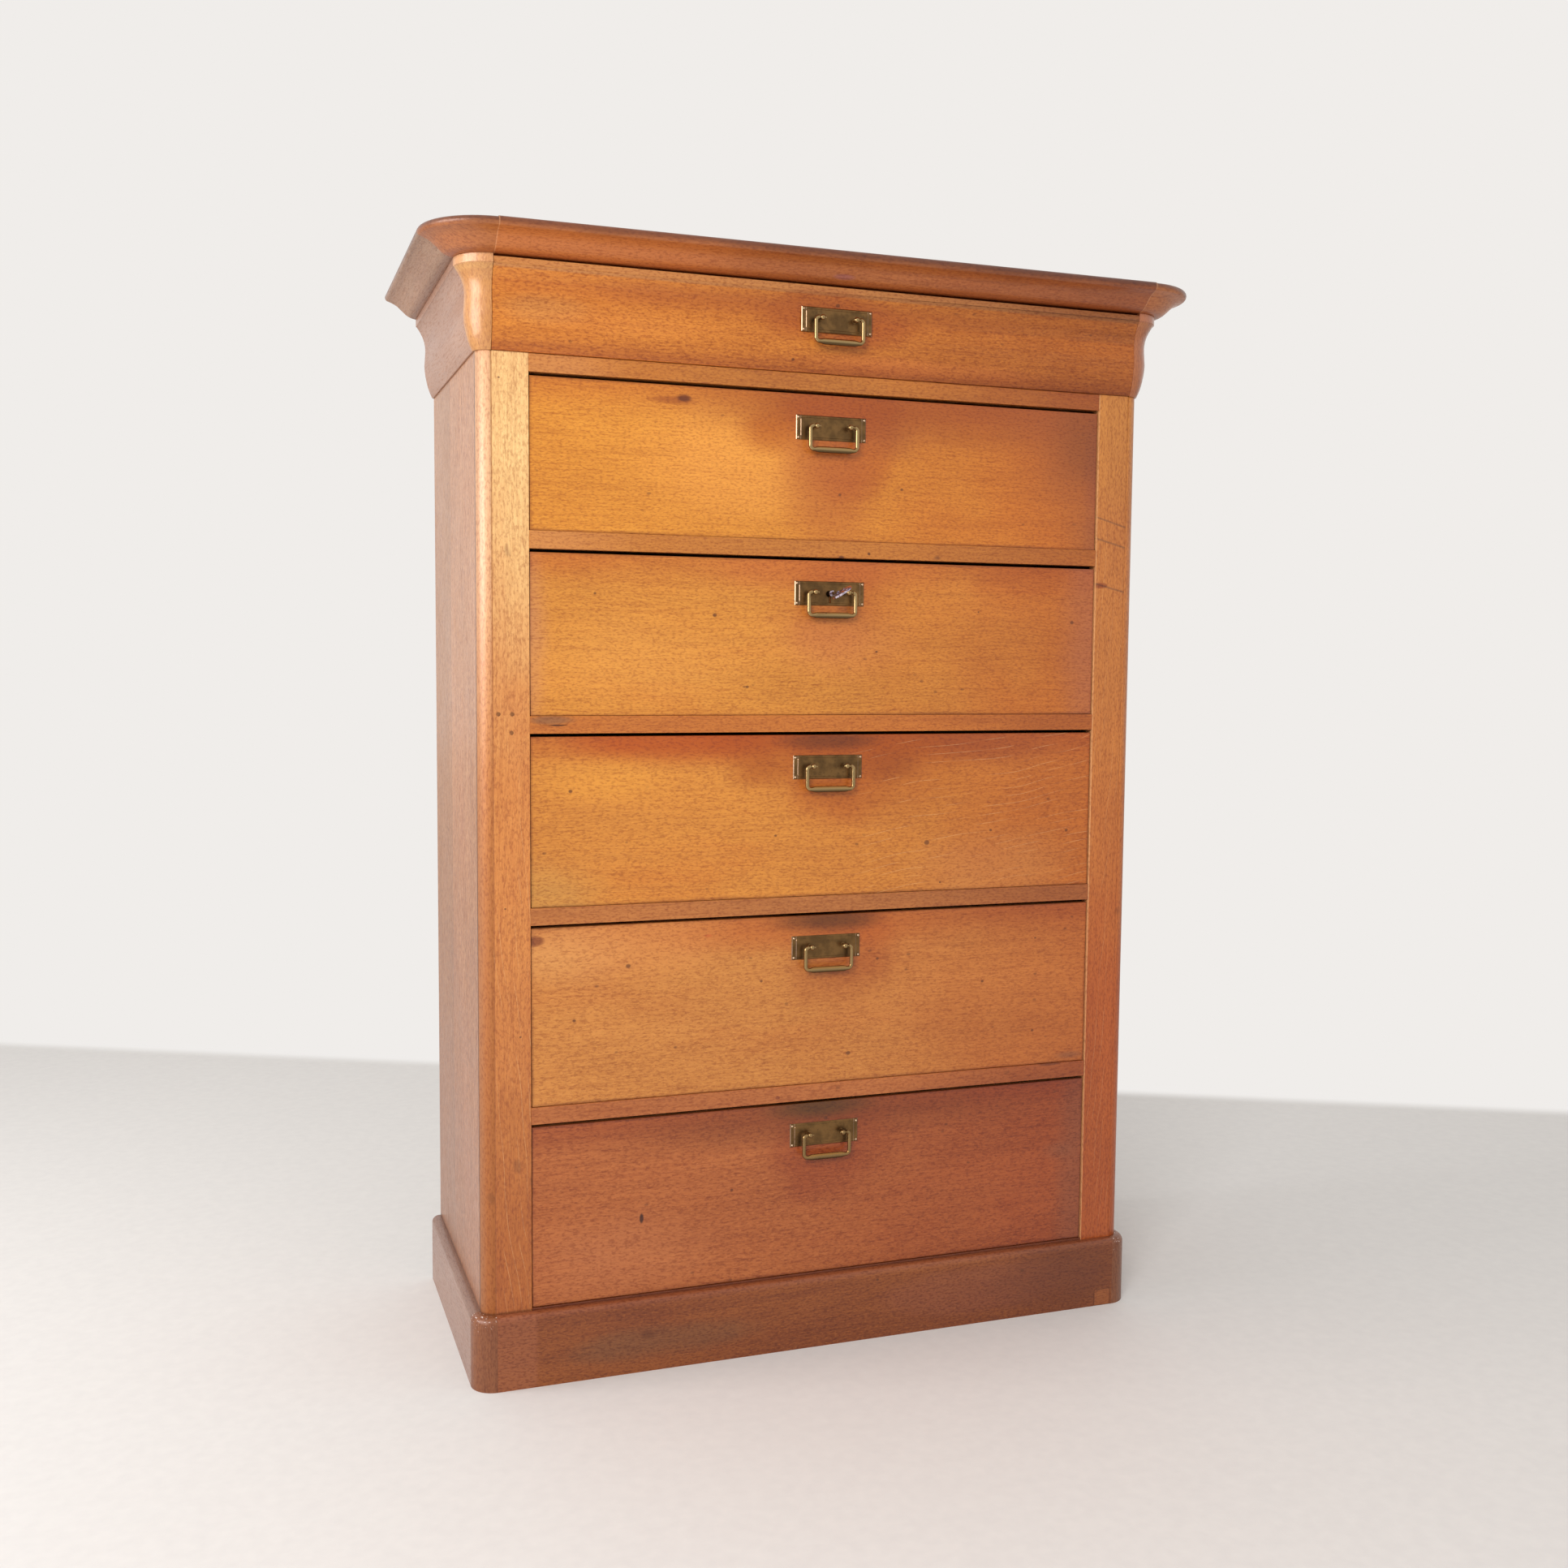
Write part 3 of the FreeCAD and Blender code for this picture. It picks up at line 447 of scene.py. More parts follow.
# %% Finishes: materials in the making
class Finish:
    """A material in the making. Patterns sit in the piece's own space, in metres."""

    def __init__(self, name):
        self.material = bpy.data.materials.new(name)
        self.material.use_nodes = True
        self.tree = self.material.node_tree
        self.shader = self.tree.nodes["Principled BSDF"]
        self.place = self.node("ShaderNodeTexCoord", output="Object")
        parts = self.tree.nodes.new("ShaderNodeSeparateXYZ")
        self.tree.links.new(self.place.socket, parts.inputs[0])
        self.x, self.y, self.z = (Signal(self, out) for out in parts.outputs)

    def node(self, kind, settings=(), inputs=(), output=0):
        """Adds a node: first its settings, then the values or links of its sockets."""
        node = self.tree.nodes.new(kind)
        for key, value in dict(settings).items():
            setattr(node, key, value)
        for key, value in dict(inputs).items():
            self.feed(node.inputs[key], value)
        return Signal(self, node.outputs[output])

    def feed(self, socket, value):
        """Links a signal to a socket, or writes a plain value on it."""
        if isinstance(value, Signal):
            self.tree.links.new(value.socket, socket)
        else:
            socket.default_value = value

    def set(self, **values):
        """Feeds the shader's own sockets: Base_Color, Roughness, Metallic and so on."""
        for key, value in values.items():
            self.feed(self.shader.inputs[key.replace("_", " ")], value)

    def mix(self, share, first, second, blend="MIX"):
        """Lays the second colour over the first one, as much as share says."""
        settings = {"data_type": "RGBA", "blend_type": blend}
        return self.node("ShaderNodeMix", settings, {0: share, 6: first, 7: second}, 2)

    def noise(self, scale, seed, detail, rough=0.5, place=None):
        """Soft random patches, scale of them to the metre in each direction."""
        shift = (seed * 7.31 + 0.17, seed * 3.77 + 0.41, seed * 5.13 + 0.29)
        spot = self.node(
            "ShaderNodeMapping",
            inputs={"Vector": place or self.place, "Location": shift, "Scale": scale},
        )
        return self.node(
            "ShaderNodeTexNoise",
            inputs={"Vector": spot, "Scale": 1.0, "Detail": detail, "Roughness": rough},
        )

    def relief(self, height, depth, strength):
        """Feeds a pattern of heights to the shader's normal; depth is in metres."""
        inputs = {"Height": height, "Distance": depth, "Strength": strength}
        self.set(Normal=self.node("ShaderNodeBump", inputs=inputs))

    def wear(self, *pieces):
        """Puts this finish on pieces, in place of what they had."""
        for piece in pieces:
            piece.data.materials.clear()
            piece.data.materials.append(self.material)


# %% [markdown]
# ## Oak
# Sawn oak shows five things, from large to small. The colour drifts over a hand's breadth. Bands
# of growth run along the board. Short dark dashes are the open pores, cut lengthways, with still
# shorter flecks and pale glints between them. On boards sawn towards the heart, pale rays cross
# the grain as thin curved lines. Each is a noise pattern, stretched along the board, so a finish
# only needs to know which way its board runs. Stain and wax lie on top: darker where hands and
# dirt settle, redder where the stain took more. The flecks come last, because stain and clouds of
# colour would cover them, and on real oak they show through everything.


# %% Oak, with its marks
class Oak(Finish):
    """Waxed oak. grain is the axis along the board; seed gives each board its own figure.

    Where boards lie side by side, pitch is the edge of the first one and the width of each.
    """

    def __init__(self, name, light, dark, grain, seed, figure=1.0, wax=0.12, pitch=None):
        super().__init__(name)
        order = {"x": (self.x, self.z, self.y), "y": (self.y, self.z, self.x)}
        length, width, depth = order.get(grain, (self.z, self.x, self.y))
        if pitch:
            plank = (width - pitch[0]) / pitch[1]
            self.plank = plank.math("FLOOR", plank)
            depth = depth + self.plank * 1.73
        self.wobble = self.noise((9, 9, 9), seed + 0.5, 2.0)
        sway = (self.noise((2.2, 2.2, 2.2), seed + 0.9, 1.0) - 0.5) * 0.02
        self.length, self.width, self.depth = length, width + sway, depth
        self.board = self.lay(self.width)
        self.seed = seed
        drift = self.pattern((2.2, 8, 8), 1, 3.0).rise(0.28, 0.72)
        red = self.pattern((3.4, 12, 12), 7, 3.0).rise(0.52, 0.78)
        bands = self.pattern((1.2, 75, 75), 2, 3.0).rise(0.40, 0.74)
        streaks = self.pattern((8, 250, 250), 9, 3.0).rise(0.44, 0.72)
        self.dashes = self.pattern((50, 500, 500), 3, 2.0).rise(0.46, 0.72)
        fibres = self.pattern((150, 1000, 1000), 4, 1.0).rise(0.3, 0.7)
        flecks = self.pattern((190, 400, 400), 5, 2.0).rise(0.44, 0.70)
        self.flecks = flecks * (0.45 * figure)
        glints = self.pattern((170, 450, 450), 10, 2.0).rise(0.50, 0.74)
        self.colour = self.mix(drift * 0.8, tone(light), tone(dark))
        self.over(red * 0.25, "#D8905C", "MULTIPLY")
        self.colour = self.mix(bands * (0.4 * figure), self.colour, tone(dark))
        self.over(streaks * (0.22 * figure), "#B88658", "MULTIPLY")
        self.over(self.dashes * (0.28 * figure), "#B88658", "MULTIPLY")
        self.over(fibres * (0.25 * figure), "#D9B48C", "MULTIPLY")
        self.colour = self.mix(glints * (0.5 * figure), self.colour, tone(light))
        self.rough = 0.36 + self.dashes * 0.14 + (self.wobble - 0.5) * 0.12
        self.height = self.dashes * -0.7 + fibres * -0.3
        self.wax = wax

    def lay(self, width):
        """A place on the board: along it, across it, and into it."""
        return self.node(
            "ShaderNodeCombineXYZ", inputs={0: self.length, 1: width, 2: self.depth}
        )

    def pattern(self, scale, step, detail):
        """Noise along the board; the first scale is along its length."""
        return self.noise(scale, self.seed + step * 0.37, detail, 0.55, self.board)

    def over(self, share, code, blend="MIX"):
        self.colour = self.mix(share, self.colour, tone(code), blend)

    def far_from(self, at, reach):
        """0 at a spot (x, z) of the front, 1 at the half-sizes reach, and more outside."""
        a = (self.x - at[0]) / reach[0]
        b = (self.z - at[1]) / reach[1]
        return a * a + b * b

    def stain(self, at, reach, code, share, blend="MULTIPLY", rim=1.6):
        """A spot with an uneven rim, its middle at and half-sizes reach, in metres."""
        far = self.far_from(at, reach) + (self.wobble - 0.5) * rim
        self.over(far.rise(1.0, 0.1) * share, code, blend)

    def fade(self, axis, start, end, code, share, blend="MULTIPLY"):
        """A colour that grows from start to end along an axis."""
        way = getattr(self, axis) + (self.wobble - 0.5) * (abs(end - start) * 0.5)
        self.over(way.rise(start, end) * share, code, blend)

    def cloud(self, at, reach, code, share):
        """A wide soft patch of another colour, its middle at and half-sizes reach."""
        far = self.far_from(at, reach) + (self.wobble - 0.5) * 1.2
        near = far.rise(2.2, -0.3)
        self.over(near * near * share, code)

    def rays(self, axis, low, high, share, gap, tilt, run):
        """Thin pale lines, gap metres apart and run breaks to the metre, tilted to the grain."""
        bend = self.noise((6, 6, 6), self.seed + 1.85, 1.0) * 3.0
        count = (self.width + self.length * tilt) / gap + bend
        lines = (count.math("FRACT", count) - 0.5).size().rise(0.035, 0.005)
        broken = self.pattern((run, 90, 90), 6, 1.0).rise(0.46, 0.62)
        way = getattr(self, axis)
        inside = way.rise(low, low + 0.1) * way.rise(high, high - 0.1)
        self.over(lines * broken * inside * share, "#EFC48C")

    def specks(self, count, share, size=0.16):
        """Small dark dots, count cells to the metre, only some of which hold one."""
        scale = (count, count * 1.6, count)
        spot = self.node("ShaderNodeMapping", inputs={"Vector": self.board, "Scale": scale})
        cells = self.node("ShaderNodeTexVoronoi", inputs={"Vector": spot, "Scale": 1.0})
        chosen = self.pattern((count * 0.7,) * 3, 8, 0.0).rise(0.56, 0.62)
        self.over(cells.rise(size, size * 0.5) * chosen * share, "#5A2A12")

    def dots(self, spots, code="#5A2A10", share=0.75):
        """Bruises, pin holes and worm holes: small dark dots at (x, z, radius)."""
        near = None
        for x, z, radius in spots:
            far = self.far_from((x, z), (radius * 0.8, radius * 0.65))
            near = far if near is None else near.least(far)
        self.over(near.rise(1.4, 0.3) * share, code)

    def darken_edges(self, node, width, share, code="#7A4420"):
        """Darkens a flat front towards its outer edges."""
        low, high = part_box(node)
        across = (self.x - low.x).least(high.x - self.x)
        near = across.least((self.z - low.z).least(high.z - self.z))
        uneven = near + (self.wobble - 0.5) * (width * 1.6)
        self.over(uneven.rise(width, 0.0) * share, code, "MULTIPLY")

    def bare(self, start, end):
        """Wood without stain behind the front, from start to end along y."""
        self.over(self.y.rise(start, end) * 0.85, "#B98F5E")

    def done(self, *pieces):
        """Lays the flecks over all marks, feeds the shader, and finishes the pieces."""
        self.over(self.flecks, "#B07C50", "MULTIPLY")
        self.set(Base_Color=self.colour, Roughness=self.rough)
        self.set(Coat_Weight=self.wax, Coat_Roughness=0.22)
        self.relief(self.height, 0.0003, 0.55)
        self.wear(*pieces)


# %% [markdown]
# ## The five flat drawer fronts
# Each front is one wide board with its grain lying along the drawer. They were stained together
# but came from different planks, and time did the rest: the upper ones are honey-yellow, the
# lowest one is red-brown, and part of that darkening towards the floor is painted shade. All are
# darker at the right end, partly as painted shade away from the light on the left, and a reddish
# shadow lies round each handle, where wax and brass polish built up. Their top edges are darker
# too, with painted shade under the rails and some dirt.

# %% Tones and marks of the flat fronts
# Lower fronts get darker tones: partly their wood, partly painted shade towards the floor.
FLAT_FRONTS = {
    2: ("#E39834", "#CF8428"),
    3: ("#DE9438", "#C98430"),
    4: ("#DD9238", "#C78032"),
    5: ("#D89246", "#C47E38"),
    6: ("#BA6C36", "#A45828"),
}
STAIN_ENDS = (-0.166, -0.160)
front_woods = {}
for number, (light, dark) in FLAT_FRONTS.items():
    node = f"drawer_{number}_front"
    wood = Oak(f"oak_front_{number}", light, dark, "x", number, 1.2 if number == 6 else 1.0)
    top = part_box(node)[1].z
    # Darker towards the right end: partly the wood, partly painted shade away from the light on
    # the left.
    wood.fade("x", -0.1, 0.42, "#D0885A", 0.6)
    # Darker along the top edge: painted shade under the rail above, with some dirt.
    wood.fade("z", top - 0.05, top, "#D08A5C", 0.4)
    wood.stain((0.02, top - 0.06), (0.11, 0.09), "#CC8450", 0.5)
    wood.specks(26, 0.5, 0.1)
    # Darker towards the edges: partly dirt, partly painted shade of the gaps round the drawer.
    wood.darken_edges(node, 0.004, 0.4)
    wood.bare(*STAIN_ENDS)
    front_woods[number] = wood
print("flat fronts:", len(front_woods))

# %% Clouds of colour on single fronts: middle, half-sizes, colour, share
CLOUDS = {
    2: (
        ((-0.14, 1.225), (0.14, 0.08), "#F2A44A", 0.45),
        ((0.14, 1.312), (0.34, 0.055), "#984816", 0.8),
        ((-0.085, 1.270), (0.045, 0.03), "#B45C0C", 0.8),
        ((0.10, 1.268), (0.05, 0.03), "#9E5020", 0.4),
        ((0.0, 1.22), (0.07, 0.14), "#AC5420", 0.6),
        ((0.40, 1.29), (0.14, 0.15), "#9C5022", 0.8),
        ((0.425, 1.22), (0.03, 0.20), "#8A4430", 0.5),
        ((0.0, 1.302), (0.14, 0.03), "#9C4608", 0.55),
        ((0.42, 1.30), (0.08, 0.08), "#7C3E12", 0.5),
        ((0.43, 1.145), (0.07, 0.05), "#94522C", 0.6),
    ),
    3: (
        ((-0.02, 1.088), (0.16, 0.03), "#C4682C", 0.5),
        ((0.02, 0.99), (0.10, 0.05), "#D08040", 0.6),
        ((0.42, 1.00), (0.06, 0.16), "#A0604A", 0.5),
        ((-0.42, 0.99), (0.03, 0.12), "#B87C60", 0.5),
        ((-0.28, 0.96), (0.16, 0.06), "#E29C46", 0.4),
    ),
    4: (
        ((-0.19, 0.856), (0.20, 0.034), "#AE4A04", 0.95),
        ((0.08, 0.854), (0.24, 0.040), "#9A4204", 0.9),
        ((0.26, 0.668), (0.12, 0.06), "#D08A48", 0.5),
        ((-0.31, 0.805), (0.10, 0.03), "#E39A38", 0.5),
        ((-0.40, 0.655), (0.08, 0.05), "#B08C4C", 0.35),
        ((0.05, 0.81), (0.16, 0.06), "#AC5408", 0.5),
        ((0.26, 0.848), (0.10, 0.03), "#98481C", 0.5),
        ((-0.095, 0.815), (0.05, 0.025), "#A6500A", 0.8),
        ((0.10, 0.815), (0.05, 0.025), "#924208", 0.7),
        ((0.0, 0.854), (0.07, 0.014), "#6E3004", 0.9),
    ),
    5: (
        ((-0.37, 0.575), (0.10, 0.04), "#DE9E5C", 0.4),
        ((-0.25, 0.585), (0.12, 0.05), "#DE904A", 0.5),
        ((-0.02, 0.590), (0.20, 0.03), "#B65818", 0.6),
        ((0.39, 0.384), (0.025, 0.006), "#6A4030", 0.6),
        ((0.0, 0.604), (0.08, 0.018), "#643206", 1.0),
    ),
    6: (
        ((0.02, 0.325), (0.28, 0.035), "#743410", 0.6),
        ((0.375, 0.24), (0.03, 0.014), "#6E4634", 0.35),
        ((0.0, 0.340), (0.09, 0.017), "#54320A", 0.9),
        ((0.41, 0.2), (0.04, 0.2), "#7C4A34", 0.5),
        ((-0.30, 0.16), (0.14, 0.06), "#B87044", 0.4),
    ),
}
for number, clouds in CLOUDS.items():
    for middle, reach, code, share in clouds:
        front_woods[number].cloud(middle, reach, code, share)
print("clouds of colour:", sum(len(clouds) for clouds in CLOUDS.values()))

# %% Small marks of single fronts: x, z and radius of each dot
DOTS = {
    2: ((0.1061, 1.202, 0.003), (0.0138, 1.1908, 0.003)),
    3: (
        (-0.3277, 1.0496, 0.0026),
        (-0.1643, 1.0241, 0.004),
        (0.0711, 0.9775, 0.0026),
        (-0.1178, 0.9283, 0.003),
        (0.3783, 1.0227, 0.004),
        (0.2275, 1.0353, 0.002),
    ),
    4: (
        (-0.3606, 0.7911, 0.0035),
        (-0.0755, 0.7246, 0.0028),
        (0.1522, 0.7083, 0.0055),
        (0.2529, 0.7233, 0.003),
        (0.3764, 0.7199, 0.0035),
        (0.1739, 0.6507, 0.0025),
    ),
    5: (
        (-0.2828, 0.5555, 0.0045),
        (-0.3562, 0.4862, 0.0032),
        (0.0782, 0.5457, 0.0032),
        (0.3289, 0.5626, 0.0024),
        (0.327, 0.4251, 0.003),
        (0.0355, 0.4133, 0.0045),
        (0.2439, 0.5033, 0.003),
        (-0.0948, 0.5237, 0.0028),
    ),
    6: ((-0.1357, 0.2335, 0.003), (0.0024, 0.323, 0.004)),
}
for number, spots in DOTS.items():
    front_woods[number].dots(spots)
front_woods[2].stain((-0.2084, 1.3078), (0.012, 0.006), "#6E3012", 0.8)
front_woods[2].stain((-0.225, 1.304), (0.035, 0.007), "#A5602C", 0.5)
front_woods[4].rays("x", 0.0, 0.5, 0.4, gap=0.012, tilt=-0.14, run=9)
front_woods[5].stain((-0.408, 0.595), (0.014, 0.008), "#8A4420", 0.7)
front_woods[5].stain((-0.1712, 0.5907), (0.007, 0.003), "#C05A28", 0.6, "MIX")
front_woods[6].stain((-0.264, 0.2079), (0.0035, 0.008), "#4A2010", 0.9)
for number, wood in front_woods.items():
    wood.done(fronts[number])
print("small dots:", sum(len(spots) for spots in DOTS.values()))

# %% [markdown]
# ## The frieze drawer
# The top drawer hides in the frieze: its front is the moulding itself, planed to an S-curve.
# Its grain lies lengthways too. It took more stain than the flat fronts, and a dull strip runs
# along its top, under the cornice, where no duster reaches.

# %% Finish of the frieze drawer's front
frieze = Oak("oak_frieze_front", "#D88831", "#B86A23", "x", 11, figure=1.2, wax=0.06)
frieze.rough = frieze.rough + 0.12
frieze.fade("z", 1.4490, 1.4515, "#B27A48", 0.7, "MIX")
# Darker towards the right end: partly the wood, partly painted shade away from the light on the
# left.
frieze.fade("x", -0.05, 0.45, "#BC805A", 0.45)
frieze.stain((0.0, 1.42), (0.14, 0.04), "#C07044", 0.5)
frieze.cloud((-0.39, 1.405), (0.06, 0.02), "#B08858", 0.25)
frieze.cloud((-0.10, 1.432), (0.40, 0.018), "#A4541C", 0.75)
frieze.cloud((-0.28, 1.395), (0.12, 0.02), "#D8883A", 0.3)
frieze.cloud((0.12, 1.366), (0.18, 0.012), "#D27A38", 0.5)
frieze.fade("z", 1.375, 1.352, "#B46C44", 0.4)
frieze.dots(((0.0007, 1.4397, 0.004), (-0.06, 1.3662, 0.003)))
frieze.specks(30, 0.4, 0.1)
frieze.bare(-0.160, -0.156)
frieze.done(fronts[1])
print("frieze drawer finished")

# %% [markdown]
# ## Stiles
# The two uprights at the front corners. Their grain stands upright, and each is flat in front and
# rounded outside. The left one is the palest wood on the chest and turns redder towards the
# floor, where it also shows rays. Its rounded part is the best polished spot of the whole chest.
# The right one is redder, has three slanted hairlines, and a pale painted highlight along its
# inner edge.

# %% Finish of the left stile
FLAT_END, ROUND_START = 0.4620, 0.4635
QUIRK = 0.4615
stile = Oak("oak_stile_left", "#F8CF8D", "#ECB879", "z", 21, wax=0.3)
stile.fade("z", 1.25, 0.80, "#D89E5C", 0.85)
stile.fade("z", 0.7, 0.15, "#C4A06E", 0.8)
corner = stile.x.rise(-FLAT_END, -ROUND_START)
high_up = stile.z.rise(0.70, 1.20)
# Pinkish high on the rounded part: painted reflection of the pale room.
stile.over(corner * high_up * 0.6, "#D8A080")
# Darker low on the rounded part: painted shade where its highlight fades towards the floor.
stile.over(corner * stile.z.rise(1.1, 0.6) * 0.7, "#A2602E")
# A dark line in the groove where the round begins: painted shade.
stile.over((stile.x + QUIRK).size().rise(0.0012, 0.0004) * 0.6, "#A45C2C")
# Darker on the outer part of the round, which faces the side: painted shade.
stile.over(stile.x.rise(-0.4715, -0.4785) * 0.45, "#9A6A48")
stile.over(stile.y.rise(-0.1560, -0.1535) * 0.7, "#6A3C20")
stile.over(stile.z.rise(0.1040, 0.1010) * 0.6, "#5A3420")
stile.rays("z", 0.06, 0.9, (1.0 - corner) * 0.4, gap=0.010, tilt=0.10, run=5)
stile.dots(((-0.452, 1.318, 0.002), (-0.447, 0.64, 0.002), (-0.428, 0.47, 0.002)))
stile.specks(14, 0.35)
stile.wax = 0.3 + corner * (high_up * 0.48 - 0.28)
stile.rough = stile.rough + corner * (1.0 - high_up) * 0.2
stile.done(stiles["left"])

peg_wood = Oak("oak_pegs", "#9A6430", "#7E4C24", "y", 29, wax=0.1)
peg_wood.done(pegs)
print("left stile finished, with its pegs")

# %% Finish of the right stile, its hairlines given by height and slope
HAIRLINES = ((1.1750, 0.27), (1.1444, 0.25), (1.0805, 0.25))
STILE_INSIDE = 0.413
stile = Oak("oak_stile_right", "#CC803A", "#B46C30", "z", 23, wax=0.15)
stile.fade("z", 1.1, 1.36, "#F0B040", 0.10, "SCREEN")
stile.fade("z", 1.0, 0.4, "#E8BFB0", 1.0)
flat = stile.x.rise(ROUND_START, FLAT_END)
stile.rays("z", 0.06, 1.2, flat * 0.25, gap=0.010, tilt=-0.10, run=5)
stile.specks(14, 0.35)
for height, slope in HAIRLINES:
    line = stile.z + (stile.x - STILE_INSIDE) * slope + (stile.wobble - 0.5) * 0.006 - height
    stile.over(line.size().rise(0.0020, 0.0006) * flat * 0.65, "#7E4E2E")
stile.stain((0.423, 1.0772), (0.014, 0.0055), "#B88050", 0.8)
# Pale along the inner edge: painted highlight where that edge catches the light.
stile.over(stile.x.rise(0.4160, 0.4146) * 0.6, "#F0B47C")
stile.done(stiles["right"])
print("right stile finished, with", len(HAIRLINES), "hairlines")

# %% [markdown]
# ## Rails and the board under the lowest drawer
# The strips between the drawers are thin boards seen by their front edge. They were stained with
# the rest but are greyer, because dust and wax sit in their more open grain.

# %% Finish of the rails
RAIL_TONES = {
    1: ("#C67A2C", "#B26E2A"),
    2: ("#CC8232", "#B8722E"),
    3: ("#CE7C2E", "#BA6C2A"),
    4: ("#C0783A", "#AA6834"),
    5: ("#BE723A", "#A86030"),
}
rail_woods = {}
for number, (light, dark) in RAIL_TONES.items():
    wood = Oak(f"oak_rail_{number}", light, dark, "x", 30 + number)
    # Darker towards the right end: partly the wood, partly painted shade away from the light on
    # the left.
    wood.fade("x", 0.0, 0.42, "#C08A68", 0.7 if number in (1, 5) else 0.5)
    if number < 3:
        # Paler towards the left end: partly the wood, partly painted light.
        wood.fade("x", -0.25, -0.40, "#D8965C", 0.35, "MIX")
    wood.specks(20, 0.5)
    wood.bare(*STAIN_ENDS)
    rail_woods[number] = wood
rail_woods[2].dots(((0.0569, 1.112, 0.003), (0.016, 1.1046, 0.006)), share=0.9)
rail_woods[3].stain((-0.385, 0.8845), (0.036, 0.0075), "#82583A", 0.7, "MIX", rim=0.8)
# A dark line along the lower edge of the torn spot: painted shadow.
rail_woods[3].stain((-0.3775, 0.8777), (0.0155, 0.0011), "#46241A", 0.95, rim=0.2)
rail_woods[5].dots(((-0.0705, 0.3585, 0.0045),), "#7A3418")
rail_woods[5].stain((0.354, 0.3735), (0.02, 0.003), "#6A4030", 0.5)
for number, wood in rail_woods.items():
    wood.done(torn_rail if number == 3 else solids[f"rail_{number}"])
strip = Oak("oak_bottom_board", "#74391C", "#602E16", "x", 37)
strip.bare(*STAIN_ENDS)
strip.done(solids["bottom_board"])
print("rails finished:", len(RAIL_TONES))

# %% [markdown]
# ## Sides
# Each side is two upright boards glued edge to edge. The wax on them is thin and satin, so they
# mirror the pale room at a low angle, which turns them greyish-pink.

# %% Finish of the sides
BOARD_JOINT = 0.075
for name, seed in (("side_left", 41), ("side_right", 43)):
    wood = Oak(f"oak_{name}", "#CC956B", "#B68358", "z", seed, figure=1.6, wax=0.25)
    joint = (wood.y - BOARD_JOINT).size()
    wood.over(wood.y.rise(BOARD_JOINT - 0.0005, BOARD_JOINT + 0.0005) * 0.4, "#946E50")
    wood.fade("z", 0.9, 0.2, "#C8A488", 0.6)
    wood.over(wood.z.rise(0.1060, 0.1015) * 0.6, "#5A4038")
    wood.over(joint.rise(0.0012, 0.0003) * 0.7, "#5A3018")
    wood.over(wood.y.rise(-0.1492, -0.1508) * 0.75, "#5A3820")
    wood.done(solids[name])
print("sides finished")

# %% [markdown]
# ## Cornice and frieze mouldings
# Mouldings are polished on their hollows, so the swell is bright. Their top edges are painted
# nearly purple and their lower edges darker: painted shade that follows the rounded profile. The
# top faces have the tone of the top board. The frieze's corner blocks were cut with upright
# grain, from a paler piece, and the right one is darker.

# %% Finish of the cornice: light and dark tone, grain, figure's seed and wax
MITRE = 0.4615
CORNICE = {
    "cornice_front": ("#C2743A", "#A05A2C", "x", 51, 0.25),
    "cornice_sides": ("#B88C6C", "#A07858", "y", 53, 0.3),
    "cornice_corners": ("#C67A40", "#AC6634", "x", 55, 0.3),
}
for node, (light, dark, grain, seed, wax) in CORNICE.items():
    wood = Oak(f"oak_{node}", light, dark, grain, seed, wax=wax)
    if node == "cornice_front":
        # Brighter left and darker right: partly the wood, partly painted light and shade from the
        # left light.
        wood.fade("x", -0.05, -0.30, "#DC8444", 0.5, "MIX")
        wood.fade("x", 0.10, 0.48, "#C09080", 0.4)
    # Darker at the lower edge: painted shade where the moulding faces down.
    wood.fade("z", 1.470, 1.465, "#B87850", 0.4)
    # Nearly purple along the top edge: painted shade where the profile rounds over.
    wood.fade("z", 1.486, 1.4955, "#5A3442", 0.75)
    if node == "cornice_front":
        for side in (-1, 1):
            mitre = (wood.x - side * MITRE).size().rise(0.0012, 0.0005)
            wood.over(mitre * 0.35, "#E8B080")
        wood.stain((0.0, 1.472), (0.02, 0.004), "#8A5068", 0.4, "MIX")
    wood.over(wood.z.rise(1.4990, 1.4996) * 0.75, "#7A4630")
    wood.done(solids[node])
top = Oak("oak_top_board", "#8E5230", "#743E26", "x", 57, wax=0.2)
top.done(solids["top_board"])
print("cornice finished")

# %% Finish of the frieze's corners and sides
block = Oak("oak_frieze_corners", "#DEA862", "#CA9050", "z", 61, figure=0.8, wax=0.7)
block.fade("z", 1.4525, 1.4545, "#D49464", 0.5, "MIX")
block.over(block.x.rise(0.40, 0.43), "#D2AEA6", "MULTIPLY")
block.fade("z", 1.4500, 1.4450, "#D0905C", 0.25)
block.done(solids["frieze_corners"])
block = Oak("oak_frieze_sides", "#B28264", "#9C6E54", "y", 63, figure=0.7, wax=0.25)
block.done(solids["frieze_sides"])
print("frieze mouldings finished")

# %% [markdown]
# ## Plinth
# The plinth meets brooms and shoes, so it is the most worn wood. It is also the darkest, partly
# as painted shade near the floor. A square patch was let in at its right end, and it is still
# paler than its surroundings.

